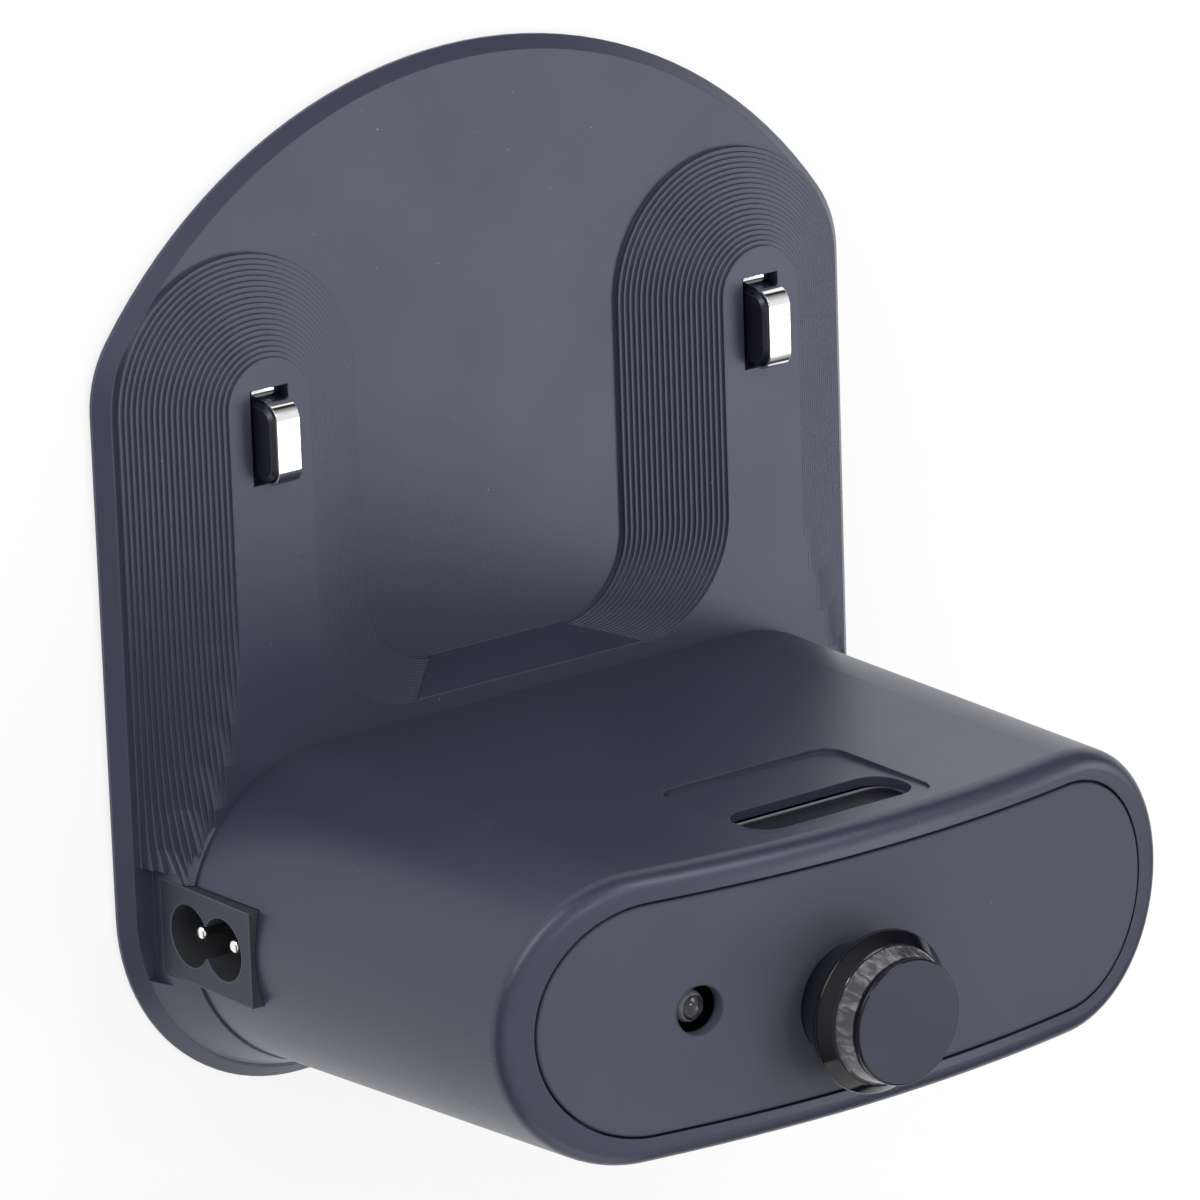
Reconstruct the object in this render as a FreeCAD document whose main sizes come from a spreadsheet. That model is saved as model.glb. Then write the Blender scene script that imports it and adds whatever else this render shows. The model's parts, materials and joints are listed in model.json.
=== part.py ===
"""Charging dock of a robot vacuum: a low floor plate with two sprung contacts and a supply tower.

The frame is the one the dock stands in when used: +Z is up, the plate lies on the floor, -Y points at
the arriving robot, and +X is the side with the mains inlet. The origin is under the middle of the plate.
Lengths are millimetres.
"""
import FreeCAD
import Part
import Sketcher
import math
import os
import re
from types import SimpleNamespace
from FreeCAD import Placement, Rotation, Vector

SIZES = {
    # Floor plate: outline, bevelled rim and rubber feet
    "foot_height": 0.6,
    "foot_radius": 5.0,
    "foot_x": 44.0,
    "foot_front_y": -56.0,
    "foot_rear_y": 60.0,
    "plate_width": 142.0,
    "plate_front_y": -77.9,
    "plate_rear_y": 77.9,
    "plate_front_radius": 83.3,
    "plate_corner_radius": 18.4,
    "plate_rear_radius": 32.0,
    "rim_land": 0.6,
    "rim_inset": 2.0,
    "floor_rise": 2.6,
    # Raised relief: two finger pads, fine steps down to the floor, ramp at the trough's end
    "pad_rise": 9.1,
    "pad_skin": 2.0,
    "finger_x": 46.7,
    "finger_radius": 7.45,
    "finger_front_y": -31.9,
    "step_count": 20,
    "step_pitch": 0.74,
    "trough_end_y": 19.4,
    "trough_end_run": 2.9,
    "trough_top_radius": 17.5,
    "trough_low_radius": 12.8,
    "flare_start_y": -3.0,
    "flare_radius": 88.0,
    "skirt_run": 3.4,
    "skirt_ledge": 0.4,
    # Hollow under the relief, and the cover that closes it
    "channel_half_width": 6.5,
    "channel_front": 4.5,
    "bay_radius": 23.6,
    "cover_thickness": 2.4,
    "cover_margin": 2.0,
    "cover_gap": 0.15,
    # Tower: a tapered stadium with a crowned top
    "tower_y": 46.9,
    "tower_half": 40.3,
    "tower_radius": 24.9,
    "tower_top_y": 45.6,
    "tower_top_radius": 22.1,
    "tower_top": 95.4,
    "crown_radius": 206.7,
    "tower_round": 3.0,
    "tower_wall": 2.0,
    "spigot_depth": 3.0,
    "spigot_wall": 1.6,
    "foot_ledge": 1.5,
    "boss_x": 30.0,
    "boss_offset": 18.8,
    "boss_radius": 3.6,
    "boss_top": 40.0,
    "screw_radius": 1.15,
    "screw_length": 13.0,
    "screw_head_radius": 2.8,
    "screw_head_height": 1.4,
    "screw_gap": 0.1,
    # Top panel let into the crown
    "panel_radius": 18.0,
    "panel_end_inset": 0.7,
    "panel_thickness": 2.0,
    "panel_gap": 0.45,
    "panel_ledge": 3.0,
    "panel_ledge_thickness": 2.0,
    "led_x": 31.8,
    "led_hole_radius": 3.75,
    "led_radius": 2.5,
    "led_flange": 0.45,
    "led_flange_height": 1.0,
    "led_fit": 0.1,
    "led_depth": 0.7,
    "led_length": 6.0,
    # Beacon on the top
    "beacon_x": 5.7,
    "beacon_y": 49.7,
    "collar_radius": 12.6,
    "collar_foot_radius": 9.0,
    "collar_sink": 1.0,
    "collar_edge": 6.9,
    "collar_cone": 2.3,
    "collar_neck_radius": 7.5,
    "collar_neck_length": 6.0,
    "collar_bore": 6.0,
    "lens_low_radius": 10.5,
    "lens_high_radius": 9.6,
    "lens_wall": 1.6,
    "lens_height": 2.9,
    "cap_thickness": 1.3,
    "cap_round": 0.45,
    "reflector_tip": 0.6,
    "reflector_height": 5.0,
    "reflector_gap": 0.4,
    "emitter_length": 10.2,
    # Guide window in the front wall
    "window_recess_half": 16.7,
    "window_recess_low": 63.7,
    "window_recess_high": 89.6,
    "window_recess_depth": 0.8,
    "window_recess_corner": 3.5,
    "slot_half": 15.3,
    "slot_low": 77.2,
    "slot_high": 87.6,
    "slot_corner": 4.4,
    "window_half": 16.9,
    "window_thickness": 1.5,
    "window_lap": 0.8,
    # Mains inlet in the tower's end
    "inlet_proud": 0.4,
    "inlet_depth": 15.0,
    "inlet_width": 15.2,
    "inlet_low": 4.9,
    "inlet_height": 23.1,
    "inlet_cavity_depth": 12.2,
    "inlet_gap": 0.1,
    "waist_half": 2.6,
    "lobe_radius": 4.9,
    "pin_spacing": 8.6,
    "pin_radius": 1.2,
    "pin_recess": 1.8,
    "pin_tail": 4.0,
    "pin_fit": 0.05,
    "plug_notch_width": 18.3,
    # Sprung contacts
    "contact_slot_half": 3.45,
    "contact_slot_front": -34.75,
    "contact_slot_rear": -20.1,
    "block_half": 2.7,
    "block_front": -32.4,
    "block_rear": -20.9,
    "block_rise": 4.3,
    "block_round": 3.0,
    "block_chamfer": 0.6,
    "block_toe": 2.0,
    "block_slope": 0.9,
    "flange_half": 5.0,
    "flange_reach": 3.2,
    "flange_thickness": 1.1,
    "flange_gap": 0.2,
    "strip_half": 2.05,
    "strip_thickness": 0.4,
    "strip_tail": 1.9,
    "spring_radius": 2.4,
    "spring_wire": 0.5,
    "spring_turns": 4.5,
    "spring_sides": 16,
    "terminal_half": 3.6,
    "terminal_front": -33.0,
    "terminal_rear": -13.0,
    "terminal_thickness": 0.5,
    # Supply board and what stands on it
    "board_half": 46.0,
    "board_y": 60.0,
    "board_thickness": 1.6,
    "board_low": 9.0,
    "board_high": 70.0,
    "rail_low": 15.0,
    "rail_depth": 2.3,
    "rail_wall": 2.1,
    "rail_gap": 0.1,
    "prop_x": 24.0,
    "prop_width": 2.4,
    "core_x": -4.0,
    "core_z": 40.0,
    "core_width": 26.0,
    "core_height": 24.0,
    "core_depth": 17.0,
    "core_leg": 4.0,
    "winding_gap": 0.15,
    "bulk_x": 27.0,
    "bulk_z": 44.0,
    "bulk_radius": 7.5,
    "bulk_length": 21.0,
    "smooth_x": -29.0,
    "smooth_z": 26.0,
    "smooth_radius": 4.0,
    "smooth_length": 13.0,
    "smooth_pitch": 10.0,
    "filter_x": 26.0,
    "filter_z": 22.0,
    "filter_width": 15.0,
    "filter_height": 7.0,
    "filter_depth": 12.0,
    "fuse_x": 41.0,
    "fuse_z": 22.0,
    "fuse_radius": 2.4,
    "fuse_length": 9.0,
    "bridge_x": 8.0,
    "bridge_z": 17.0,
    "bridge_width": 15.0,
    "bridge_height": 4.0,
    "bridge_depth": 11.0,
    "sink_x": -27.0,
    "sink_z": 56.0,
    "sink_width": 26.0,
    "sink_thickness": 1.5,
    "sink_depth": 18.0,
    "switch_width": 10.0,
    "switch_thickness": 4.4,
    "switch_depth": 15.0,
    "choke_x": 35.0,
    "choke_z": 60.0,
    "choke_radius": 4.2,
    "choke_ring": 2.0,
    "choke_base": 1.5,
    "choke_sink": 0.4,
    "header_width": 9.0,
    "header_height": 5.0,
    "header_depth": 6.0,
    "mains_header_x": 38.0,
    "mains_header_z": 34.0,
    "output_header_x": -8.0,
    "output_header_z": 12.0,
    "signal_header_x": -37.0,
    "signal_header_z": 64.0,
    "ballast_half": 24.0,
    "ballast_front": 31.0,
    "ballast_rear": 55.0,
    "ballast_thickness": 4.0,
    # Emitter board under the top
    "emitter_board_half": 40.0,
    "emitter_board_front": 30.5,
    "emitter_board_rear": 61.0,
    "emitter_board_z": 75.8,
    "shelf_reach": 4.0,
    "shelf_half": 4.0,
    "shelf_setback": 9.0,
    "shelf_thickness": 3.0,
    "shelf_screw_radius": 1.0,
    "holder_half": 11.0,
    "holder_height": 11.0,
    "holder_depth": 7.0,
    "emitter_x": 6.0,
    "emitter_nose": 0.5,
    "lead_radius": 0.8,
    "lead_bend": 3.0,
    "lead_overlap": 2.5,
    "lead_turn_y": 20.0,
    "lead_rise_x": 36.0,
    "lead_cross_y": 40.0,
    "signal_lead_x": -26.0,
    "signal_lead_z": 70.0,
}

doc = FreeCAD.newDocument("charging_dock")
sheet = doc.addObject("Spreadsheet::Sheet", "sizes")
for row, (alias, number) in enumerate(SIZES.items(), start=1):
    sheet.set(f"A{row}", "'" + alias)
    sheet.set(f"B{row}", str(number))
    sheet.setAlias(f"B{row}", alias)
doc.recompute()

# The sheet's numbers, for the pieces whose shapes are worked out here
size = SimpleNamespace(**{alias: sheet.get(alias) for alias in SIZES})
floor_z = size.foot_height + size.floor_rise
pad_z = floor_z + size.pad_rise
ceiling_z = pad_z - size.pad_skin
cover_top = size.foot_height + size.cover_thickness
tower_end = size.tower_half + size.tower_radius

# The same levels and places as expressions, for the pieces that are bound to the sheet
FLOOR = "(foot_height + floor_rise)"
PAD = f"({FLOOR} + pad_rise)"
COVER_TOP = "(foot_height + cover_thickness)"
INLET_FACE = "(tower_half + tower_radius + inlet_proud)"
INLET_BACK = f"({INLET_FACE} - inlet_depth)"
INLET_Z = "(inlet_low + inlet_height / 2)"
COLLAR_RIM = "(tower_top + collar_edge)"
COLLAR_TOP = f"({COLLAR_RIM} + collar_cone)"
LENS_TOP = f"({COLLAR_TOP} + lens_height)"
EMITTER_TOP = "(emitter_board_z + board_thickness)"
TERMINAL_TOP = f"({COVER_TOP} + terminal_thickness)"

NODES = []
SIDES = (("left", 1), ("right", -1))
TURNS = {
    "x": Rotation(Vector(0, 1, 0), 90),
    "y": Rotation(Vector(1, 0, 0), -90),
    "z": Rotation(),
}


def bind(item, prop, text):
    """Ties a property to an expression of the sizes."""
    linked = re.sub(r"[a-z_]+", lambda word: f"sizes.{word[0]}" if word[0] in SIZES else word[0], text)
    item.setExpression(prop, linked)


def node(item, label):
    """Keeps an object as a sub-part under its own label."""
    item.Label = label
    NODES.append(item)
    return item


def box(name, x_range, y_range, z_range):
    """A block between three pairs of limits."""
    block = doc.addObject("Part::Box", name)
    ranges = (x_range, y_range, z_range)
    for prop, axis, (low, high) in zip(("Length", "Width", "Height"), "xyz", ranges):
        bind(block, prop, f"({high}) - ({low})")
        bind(block, f"Placement.Base.{axis}", low)
    return block


def round_bar(name, kind, axis, start, radii, length):
    """A cylinder or cone from a start point along one axis."""
    bar = doc.addObject(f"Part::{kind}", name)
    bar.Placement = Placement(Vector(), TURNS[axis])
    for letter, text in zip("xyz", start):
        bind(bar, f"Placement.Base.{letter}", text)
    for prop, text in radii.items():
        bind(bar, prop, text)
    bind(bar, "Height", length)
    return bar


def rod(name, axis, start, radius, length):
    return round_bar(name, "Cylinder", axis, start, {"Radius": radius}, length)


def cone(name, start, low_radius, high_radius, length):
    return round_bar(name, "Cone", "z", start, {"Radius1": low_radius, "Radius2": high_radius}, length)


def fuse(name, *items):
    joined = doc.addObject("Part::MultiFuse", name)
    joined.Shapes = list(items)
    joined.Refine = True
    return joined


def cut(name, base, *tools):
    left = doc.addObject("Part::Cut", name)
    left.Base = base
    left.Tool = tools[0] if len(tools) == 1 else fuse(name + "_tools", *tools)
    left.Refine = True
    return left


def shaped(name, shape):
    """A piece whose shape is worked out from the sheet's numbers."""
    piece = doc.addObject("Part::Feature", name)
    piece.Shape = shape
    return piece


def closed_wire(start, moves, height):
    """A closed outline at one height: a move is an end point, or a middle and an end point of an arc."""
    edges = []
    here = Vector(*start, height)
    for move in list(moves) + [(start,)]:
        points = [Vector(*point, height) for point in move]
        if points[-1].distanceToPoint(here) > 1e-6:
            if len(points) == 1:
                edges.append(Part.LineSegment(here, points[0]).toShape())
            else:
                edges.append(Part.Arc(here, points[0], points[1]).toShape())
        here = points[-1]
    return Part.Wire(edges)


def prism(wire, depth):
    return Part.Face(wire).extrude(Vector(0, 0, depth))


def stadium(half, radius, y, height):
    """A stadium outline with its long axis along X."""
    moves = [
        ((half, y - radius),),
        ((half + radius, y), (half, y + radius)),
        ((-half, y + radius),),
        ((-half - radius, y), (-half, y - radius)),
    ]
    return closed_wire((-half, y - radius), moves, height)


def rounded_slab(half, low, high, corner, front, back):
    """A slab facing -Y with rounded corners, between two depths."""
    bend = corner * (1 - math.sqrt(0.5))
    moves = [
        ((half - corner, low),),
        ((half - bend, low + bend), (half, low + corner)),
        ((half, high - corner),),
        ((half - bend, high - bend), (half - corner, high)),
        ((corner - half, high),),
        ((bend - half, high - bend), (-half, high - corner)),
        ((-half, low + corner),),
        ((bend - half, low + bend), (corner - half, low)),
    ]
    wire = closed_wire((corner - half, low), moves, 0)
    wire.rotate(Vector(), Vector(1, 0, 0), 90)
    wire.translate(Vector(0, back, 0))
    return Part.Face(wire).extrude(Vector(0, front - back, 0))


def lead(points, radius, bend):
    """An insulated wire: straight runs joined by tangent arcs."""
    route = [Vector(*point) for point in points]
    edges = []
    here = route[0]
    for before, corner, after in zip(route, route[1:], route[2:]):
        back = (before - corner).normalize()
        ahead = (after - corner).normalize()
        reach = bend / math.tan(back.getAngle(ahead) / 2)
        first = corner + back * reach
        last = corner + ahead * reach
        inward = (back + ahead).normalize()
        middle = corner + inward * (math.hypot(bend, reach) - bend)
        edges.append(Part.LineSegment(here, first).toShape())
        edges.append(Part.Arc(first, middle, last).toShape())
        here = last
    edges.append(Part.LineSegment(here, route[-1]).toShape())
    section = Part.Wire([Part.Circle(route[0], route[1] - route[0], radius).toShape()])
    return Part.Wire(edges).makePipeShell([section], True, True)


def plate_outline(inset, height):
    """The floor plate's outline: domed front, straight sides and rounded rear corners."""
    half = size.plate_width / 2 - inset
    dome = size.plate_front_radius - inset
    dome_y = size.plate_front_y + size.plate_front_radius
    corner = size.plate_corner_radius - inset
    corner_x = half - corner
    corner_y = dome_y - math.sqrt((dome - corner) ** 2 - corner_x ** 2)
    turn = math.atan2(dome_y - corner_y, corner_x)
    join = (dome * math.cos(turn), dome_y - dome * math.sin(turn))
    bend = (corner_x + corner * math.cos(turn / 2), corner_y - corner * math.sin(turn / 2))
    rear = size.plate_rear_y - inset
    round_rear = size.plate_rear_radius - inset
    rear_bend = round_rear * (1 - math.sqrt(0.5))
    moves = [
        ((half, rear - round_rear),),
        ((half - rear_bend, rear - rear_bend), (half - round_rear, rear)),
        ((round_rear - half, rear),),
        ((rear_bend - half, rear - rear_bend), (-half, rear - round_rear)),
        ((-half, corner_y),),
        ((-bend[0], bend[1]), (-join[0], join[1])),
        ((0, dome_y - dome), join),
        (bend, (half, corner_y)),
    ]
    return closed_wire((half, corner_y), moves, height)


def step_level(step):
    """The height of a step's edge: the lowest riser is twice as tall as the others."""
    return pad_z - step * size.pad_rise / (size.step_count + 1)


def relief_outline(step, height):
    """One step of the raised U: finger ends around the contacts, and the trough between them."""
    out = step * size.step_pitch
    share = step / (size.step_count - 1)
    inner = size.finger_x - size.finger_radius - out
    outer = size.finger_x + size.finger_radius + out
    front = size.finger_front_y
    tip = front - size.finger_radius - out
    end = size.trough_end_y - size.trough_end_run * share
    fillet = size.trough_top_radius + (size.trough_low_radius - size.trough_top_radius) * share
    bend = fillet * (1 - math.sqrt(0.5))
    rear = size.tower_y - size.plug_notch_width / 2 + out
    moves = [
        ((inner - bend, end - bend), (inner, end - fillet)),
        ((inner, front),),
        ((size.finger_x, tip), (outer, front)),
        ((outer, rear),),
        ((-outer, rear),),
        ((-outer, front),),
        ((-size.finger_x, tip), (-inner, front)),
        ((-inner, end - fillet),),
        ((bend - inner, end - bend), (fillet - inner, end)),
    ]
    return closed_wire((inner - fillet, end), moves, height)


def relief():
    """The stepped U as one closed shell of treads and risers."""
    count = int(size.step_count)
    faces = [Part.Face(relief_outline(0, pad_z))]
    for step in range(count):
        top = step_level(step)
        if step + 1 < count:
            low = step_level(step + 1)
            rings = [relief_outline(step + 1, low), relief_outline(step, low)]
            faces.append(Part.makeFace(rings, "Part::FaceMakerBullseye"))
        else:
            low = floor_z - size.rim_land
            faces.append(Part.Face(relief_outline(step, low)))
        faces.extend(relief_outline(step, top).extrude(Vector(0, 0, low - top)).Faces)
    shell = Part.makeShell(faces)
    shell.sewShape()
    return Part.makeSolid(shell)


def trough_ramp():
    """The smooth ramp at the trough's tower end, mitred against the stepped corners."""
    share = 1 / (size.step_count - 1)
    proud = size.trough_end_run * share
    low_half = (size.finger_x - size.finger_radius - size.trough_low_radius
                - (size.step_count - 1) * size.step_pitch)
    high_half = size.finger_x - size.finger_radius - size.trough_top_radius
    rear = size.tower_y - size.tower_radius
    sections = []
    for half, front, height in (
        (low_half, size.trough_end_y - size.trough_end_run - 2 * proud, floor_z),
        (high_half, size.trough_end_y - proud, pad_z),
    ):
        corners = [((half, front),), ((half, rear),), ((-half, rear),)]
        sections.append(closed_wire((-half, front), corners, height))
    return Part.makeLoft(sections, True, True)


def flare_top(y):
    """Where the pad's outer edge runs, from the finger's side out to the tower's end."""
    run = y - size.flare_start_y
    swing = size.flare_radius - math.sqrt(size.flare_radius ** 2 - run ** 2)
    return min(size.finger_x + size.finger_radius + swing, tower_end + size.skirt_ledge)


def flares():
    """The outer steps climb beside the tower: each tread rises along the twisting slope."""
    count = int(size.step_count)
    side = size.finger_x + size.finger_radius
    foot = side + (count - 1) * size.step_pitch
    stations = 8
    last = size.tower_y - size.flare_start_y
    ys = [size.flare_start_y + last * station / stations for station in range(stations + 1)]
    pieces = []
    for step in range(count - 1):
        near = side + step * size.step_pitch
        far = near + size.step_pitch
        start = step_level(step + 1)
        points = [Vector(near, ys[0], floor_z), Vector(near, ys[0], start)]
        for y in ys[1:]:
            climb = (foot - far) / (foot - flare_top(y)) - (foot - far) / (foot - side)
            points.append(Vector(near, y, min(start + max(climb, 0) * size.pad_rise, pad_z)))
        points.append(Vector(near, ys[-1], floor_z))
        tread = Part.Face(Part.makePolygon(points + points[:1]))
        pieces.append(tread.extrude(Vector(size.step_pitch, 0, 0)))
    return pieces + [piece.mirror(Vector(), Vector(1, 0, 0)) for piece in pieces]


def cover_outline(margin, height, depth):
    """The cover's plan: a strip under each finger, joined to the bay under the tower."""
    half = size.channel_half_width + margin
    front = size.finger_front_y - size.channel_front - margin
    plan = [prism(stadium(size.tower_half, size.bay_radius + margin - size.cover_margin,
                          size.tower_y, height), depth)]
    for _, sign in SIDES:
        corner = Vector(sign * size.finger_x - half, front, height)
        plan.append(Part.makeBox(2 * half, size.tower_y - front, depth, corner))
    return plan[0].fuse(plan[1:]).removeSplitter()


def base_top():
    """Floor plate with bevelled rim, stepped relief, skirt round the tower, and the hollow below."""
    land = prism(plate_outline(0, size.foot_height), size.rim_land)
    bevel = Part.makeLoft(
        [plate_outline(0, size.foot_height + size.rim_land), plate_outline(size.rim_inset, floor_z)],
        True, True)
    skirt = Part.makeLoft(
        [stadium(size.tower_half, size.tower_radius + size.skirt_run, size.tower_y, floor_z),
         stadium(size.tower_half, size.tower_radius + size.skirt_ledge, size.tower_y, pad_z)],
        True, True)
    plate = land.fuse([bevel, relief(), skirt, trough_ramp()] + flares())
    hollow = [
        cover_outline(size.cover_margin, size.foot_height, size.cover_thickness),
        prism(stadium(size.tower_half, size.bay_radius, size.tower_y, cover_top), pad_z),
    ]
    notch_front = size.tower_y - size.plug_notch_width / 2
    face = tower_end + size.inlet_proud
    hollow.append(Part.makeBox(size.plate_width / 2, size.plug_notch_width, pad_z,
                               Vector(face, notch_front, floor_z)))
    hollow.append(Part.makeBox(size.inlet_depth, size.inlet_width, pad_z,
                               Vector(face - size.inlet_depth, size.tower_y - size.inlet_width / 2,
                                      size.inlet_low)))
    for _, sign in SIDES:
        middle = sign * size.finger_x
        channel_front = size.finger_front_y - size.channel_front
        hollow.append(Part.makeBox(
            2 * size.channel_half_width, size.tower_y - channel_front, ceiling_z - cover_top,
            Vector(middle - size.channel_half_width, channel_front, cover_top)))
        hollow.append(Part.makeBox(
            2 * size.contact_slot_half, size.contact_slot_rear - size.contact_slot_front, pad_z,
            Vector(middle - size.contact_slot_half, size.contact_slot_front, cover_top)))
    return plate.cut(hollow).removeSplitter()


def screw_places():
    return [(x * size.boss_x, size.tower_y + y * size.boss_offset) for x in (1, -1) for y in (1, -1)]


def base_cover():
    """Cover under the hollow, with counterbored screw holes and two props for the supply board."""
    gap = size.cover_margin - size.cover_gap
    plate = cover_outline(gap, size.foot_height, size.cover_thickness)
    props = []
    for _, sign in SIDES:
        corner = Vector(sign * size.prop_x - size.prop_width / 2, size.board_y - size.rail_wall, cover_top)
        depth = size.board_thickness + 2 * size.rail_wall
        props.append(Part.makeBox(size.prop_width, depth, size.board_low - cover_top, corner))
    holes = []
    for x, y in screw_places():
        low = Vector(x, y, size.foot_height)
        head = size.screw_head_radius + size.screw_gap
        holes.append(Part.makeCylinder(head, size.screw_head_height + size.screw_gap, low))
        holes.append(Part.makeCylinder(size.screw_radius + 2 * size.screw_gap, size.cover_thickness, low))
    return plate.fuse(props).cut(holes).removeSplitter()


def tower_radius(height):
    """The radius of the tower's ends at one height."""
    share = (height - pad_z) / (size.tower_top - pad_z)
    return size.tower_radius + (size.tower_top_radius - size.tower_radius) * share


def tower_form(inset):
    """The tower's outside, or its inside at an inset: a tapered stadium leaning a little to the front."""
    low = pad_z - size.spigot_depth
    high = size.tower_top + size.tower_round
    radii = [tower_radius(height) - inset for height in (low, high)]
    outlines = []
    for radius, height in zip(radii, (low, high)):
        corners = [((size.tower_half, -radius),), ((size.tower_half, radius),), ((-size.tower_half, radius),)]
        outlines.append(closed_wire((-size.tower_half, -radius), corners, height))
    middle = Part.makeLoft(outlines, True, True)
    ends = []
    for side, sign in SIDES:
        end = Part.makeCone(*radii, high - low)
        if side == "left":
            end.rotate(Vector(), Vector(0, 0, 1), 180)
        end.translate(Vector(sign * size.tower_half, 0, low))
        ends.append(end)
    form = middle.fuse(ends).removeSplitter()
    lean = math.atan2(size.tower_y - size.tower_top_y, size.tower_top - pad_z)
    form.rotate(Vector(0, 0, pad_z), Vector(1, 0, 0), math.degrees(lean))
    form.translate(Vector(0, size.tower_y, 0))
    span = 4 * tower_end
    return form.cut(Part.makeBox(span, span, pad_z, Vector(-span / 2, -span / 2, 0)))


def crown(depth):
    """A cylinder along Y whose upper side is the tower's crown, at some depth below it."""
    radius = size.crown_radius - depth
    length = 4 * size.tower_radius
    foot = Vector(0, size.tower_y - length / 2, size.tower_top - size.crown_radius)
    drum = Part.makeCylinder(radius, length, foot, Vector(0, 1, 0))
    drum.rotate(foot, Vector(0, 1, 0), 180)
    return drum


def top_stadium(radius, height):
    return stadium(size.tower_half - size.panel_end_inset, radius, size.tower_top_y, height)


def tower_shell():
    """Tower moulding: crowned top with a seat for the panel, window slot, bosses, rails and shelves."""
    blank = tower_form(0).common(crown(0))
    rim = [edge for edge in blank.Edges if edge.BoundBox.ZMin > size.window_recess_low]
    blank = blank.makeFillet(size.tower_round, rim)
    seat = size.panel_thickness + size.panel_ledge_thickness
    low = pad_z - size.spigot_depth
    shell = blank.cut(tower_form(size.tower_wall).common(crown(seat)))
    spigot_radius = size.bay_radius - size.cover_gap
    inside = [
        prism(stadium(size.tower_half, size.tower_radius, size.tower_y, pad_z), size.foot_ledge).cut(
            prism(stadium(size.tower_half, spigot_radius - size.spigot_wall, size.tower_y, pad_z),
                  size.foot_ledge))
    ]
    for x, y in screw_places():
        inside.append(Part.makeCylinder(size.boss_radius, size.boss_top - pad_z, Vector(x, y, pad_z)))
    rail_half = size.board_half + size.rail_wall
    rail_width = size.rail_depth + size.rail_wall
    for _, sign in SIDES:
        near = min(sign * rail_half, sign * (rail_half - rail_width))
        inside.append(Part.makeBox(
            rail_width, size.tower_radius, size.board_high - size.rail_low,
            Vector(near, size.board_y - size.rail_wall, size.rail_low)))
        shelf_near = size.emitter_board_half - size.shelf_reach
        inside.append(Part.makeBox(
            size.tower_half, 2 * size.shelf_half, size.shelf_thickness,
            Vector(min(sign * shelf_near, sign * (shelf_near + size.tower_half)),
                   shelf_y() - size.shelf_half, size.emitter_board_z - size.shelf_thickness)))
    shell = shell.fuse([blank.common(piece) for piece in inside])
    below = [
        prism(stadium(size.tower_half, spigot_radius, size.tower_y, low), size.spigot_depth).cut(
            prism(stadium(size.tower_half, spigot_radius - size.spigot_wall, size.tower_y, low),
                  size.spigot_depth))
    ]
    for x, y in screw_places():
        below.append(Part.makeCylinder(size.boss_radius, pad_z - cover_top, Vector(x, y, cover_top)))
    shell = shell.fuse(below)
    board_slot = size.board_half + size.rail_gap
    cuts = [
        prism(top_stadium(size.panel_radius, size.window_recess_low), size.tower_top).cut(
            crown(size.panel_thickness)),
        prism(top_stadium(size.panel_radius - size.panel_ledge, size.window_recess_high - size.tower_round),
              size.tower_top),
        rounded_slab(size.window_recess_half, size.window_recess_low, size.window_recess_high,
                     size.window_recess_corner, 0, recess_floor()),
        rounded_slab(size.slot_half, size.slot_low, size.slot_high, size.slot_corner,
                     0, size.tower_top_y),
        Part.makeBox(2 * board_slot, size.board_thickness + 2 * size.rail_gap,
                     size.board_high + size.rail_gap - cover_top,
                     Vector(-board_slot, size.board_y - size.rail_gap, cover_top)),
        Part.makeBox(size.plate_width, size.inlet_width, size.inlet_height,
                     Vector(size.tower_half, size.tower_y - size.inlet_width / 2, size.inlet_low)),
    ]
    for x, y in screw_places():
        cuts.append(Part.makeCylinder(size.screw_radius + size.screw_gap / 2,
                                      size.screw_length, Vector(x, y, cover_top)))
    for _, sign in SIDES:
        foot = Vector(sign * shelf_screw_x(), shelf_y(), size.emitter_board_z - size.shelf_thickness)
        cuts.append(Part.makeCylinder(size.shelf_screw_radius + size.screw_gap / 2,
                                      size.shelf_thickness, foot))
    return shell.cut(cuts).removeSplitter()


def recess_floor():
    """Depth in Y of the shallow recess round the guide window."""
    share = (size.window_recess_low - pad_z) / (size.tower_top - pad_z)
    y = size.tower_y + (size.tower_top_y - size.tower_y) * share
    return y - tower_radius(size.window_recess_low) + size.window_recess_depth


def shelf_screw_x():
    return size.emitter_board_half - size.shelf_reach / 2


def shelf_y():
    """Middle of the shelves, set back so that their screws stay clear of the lamp."""
    return size.tower_top_y + size.shelf_setback


def top_panel():
    """Crowned panel in the top's seat, with the lamp hole and the beacon's hole."""
    blank = prism(top_stadium(size.panel_radius - size.panel_gap, size.window_recess_low), size.tower_top)
    panel = blank.common(crown(0)).cut(crown(size.panel_thickness))
    holes = [
        Part.makeCylinder(size.led_hole_radius, size.tower_top, Vector(size.led_x, size.tower_top_y, 0)),
        Part.makeCylinder(size.collar_neck_radius + size.panel_gap, 2 * size.tower_top,
                          Vector(size.beacon_x, size.beacon_y, 0)),
    ]
    return panel.cut(holes)


def contact_block(sign):
    """Carrier of one contact: a rounded nose through the slot, a toe and a retaining flange below."""
    middle = sign * size.finger_x
    flange_top = ceiling_z - size.flange_gap
    low = flange_top - size.flange_thickness
    length = size.block_rear - size.block_front
    nose = contact_nose(middle, size.block_half, low, 0)
    sides = [edge for edge in nose.Edges
             if edge.BoundBox.ZMin > ceiling_z and edge.BoundBox.XLength < 1e-6]
    nose = nose.makeChamfer(size.block_chamfer, sides)
    toe = Part.makeBox(2 * size.block_half, size.block_toe, ceiling_z - low,
                       Vector(middle - size.block_half, size.block_front - size.block_toe, low))
    flange = Part.makeBox(2 * size.flange_half, length + 2 * size.flange_reach, size.flange_thickness,
                          Vector(middle - size.flange_half, size.block_front - size.flange_reach, low))
    return nose.fuse([toe, flange]).removeSplitter()


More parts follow.
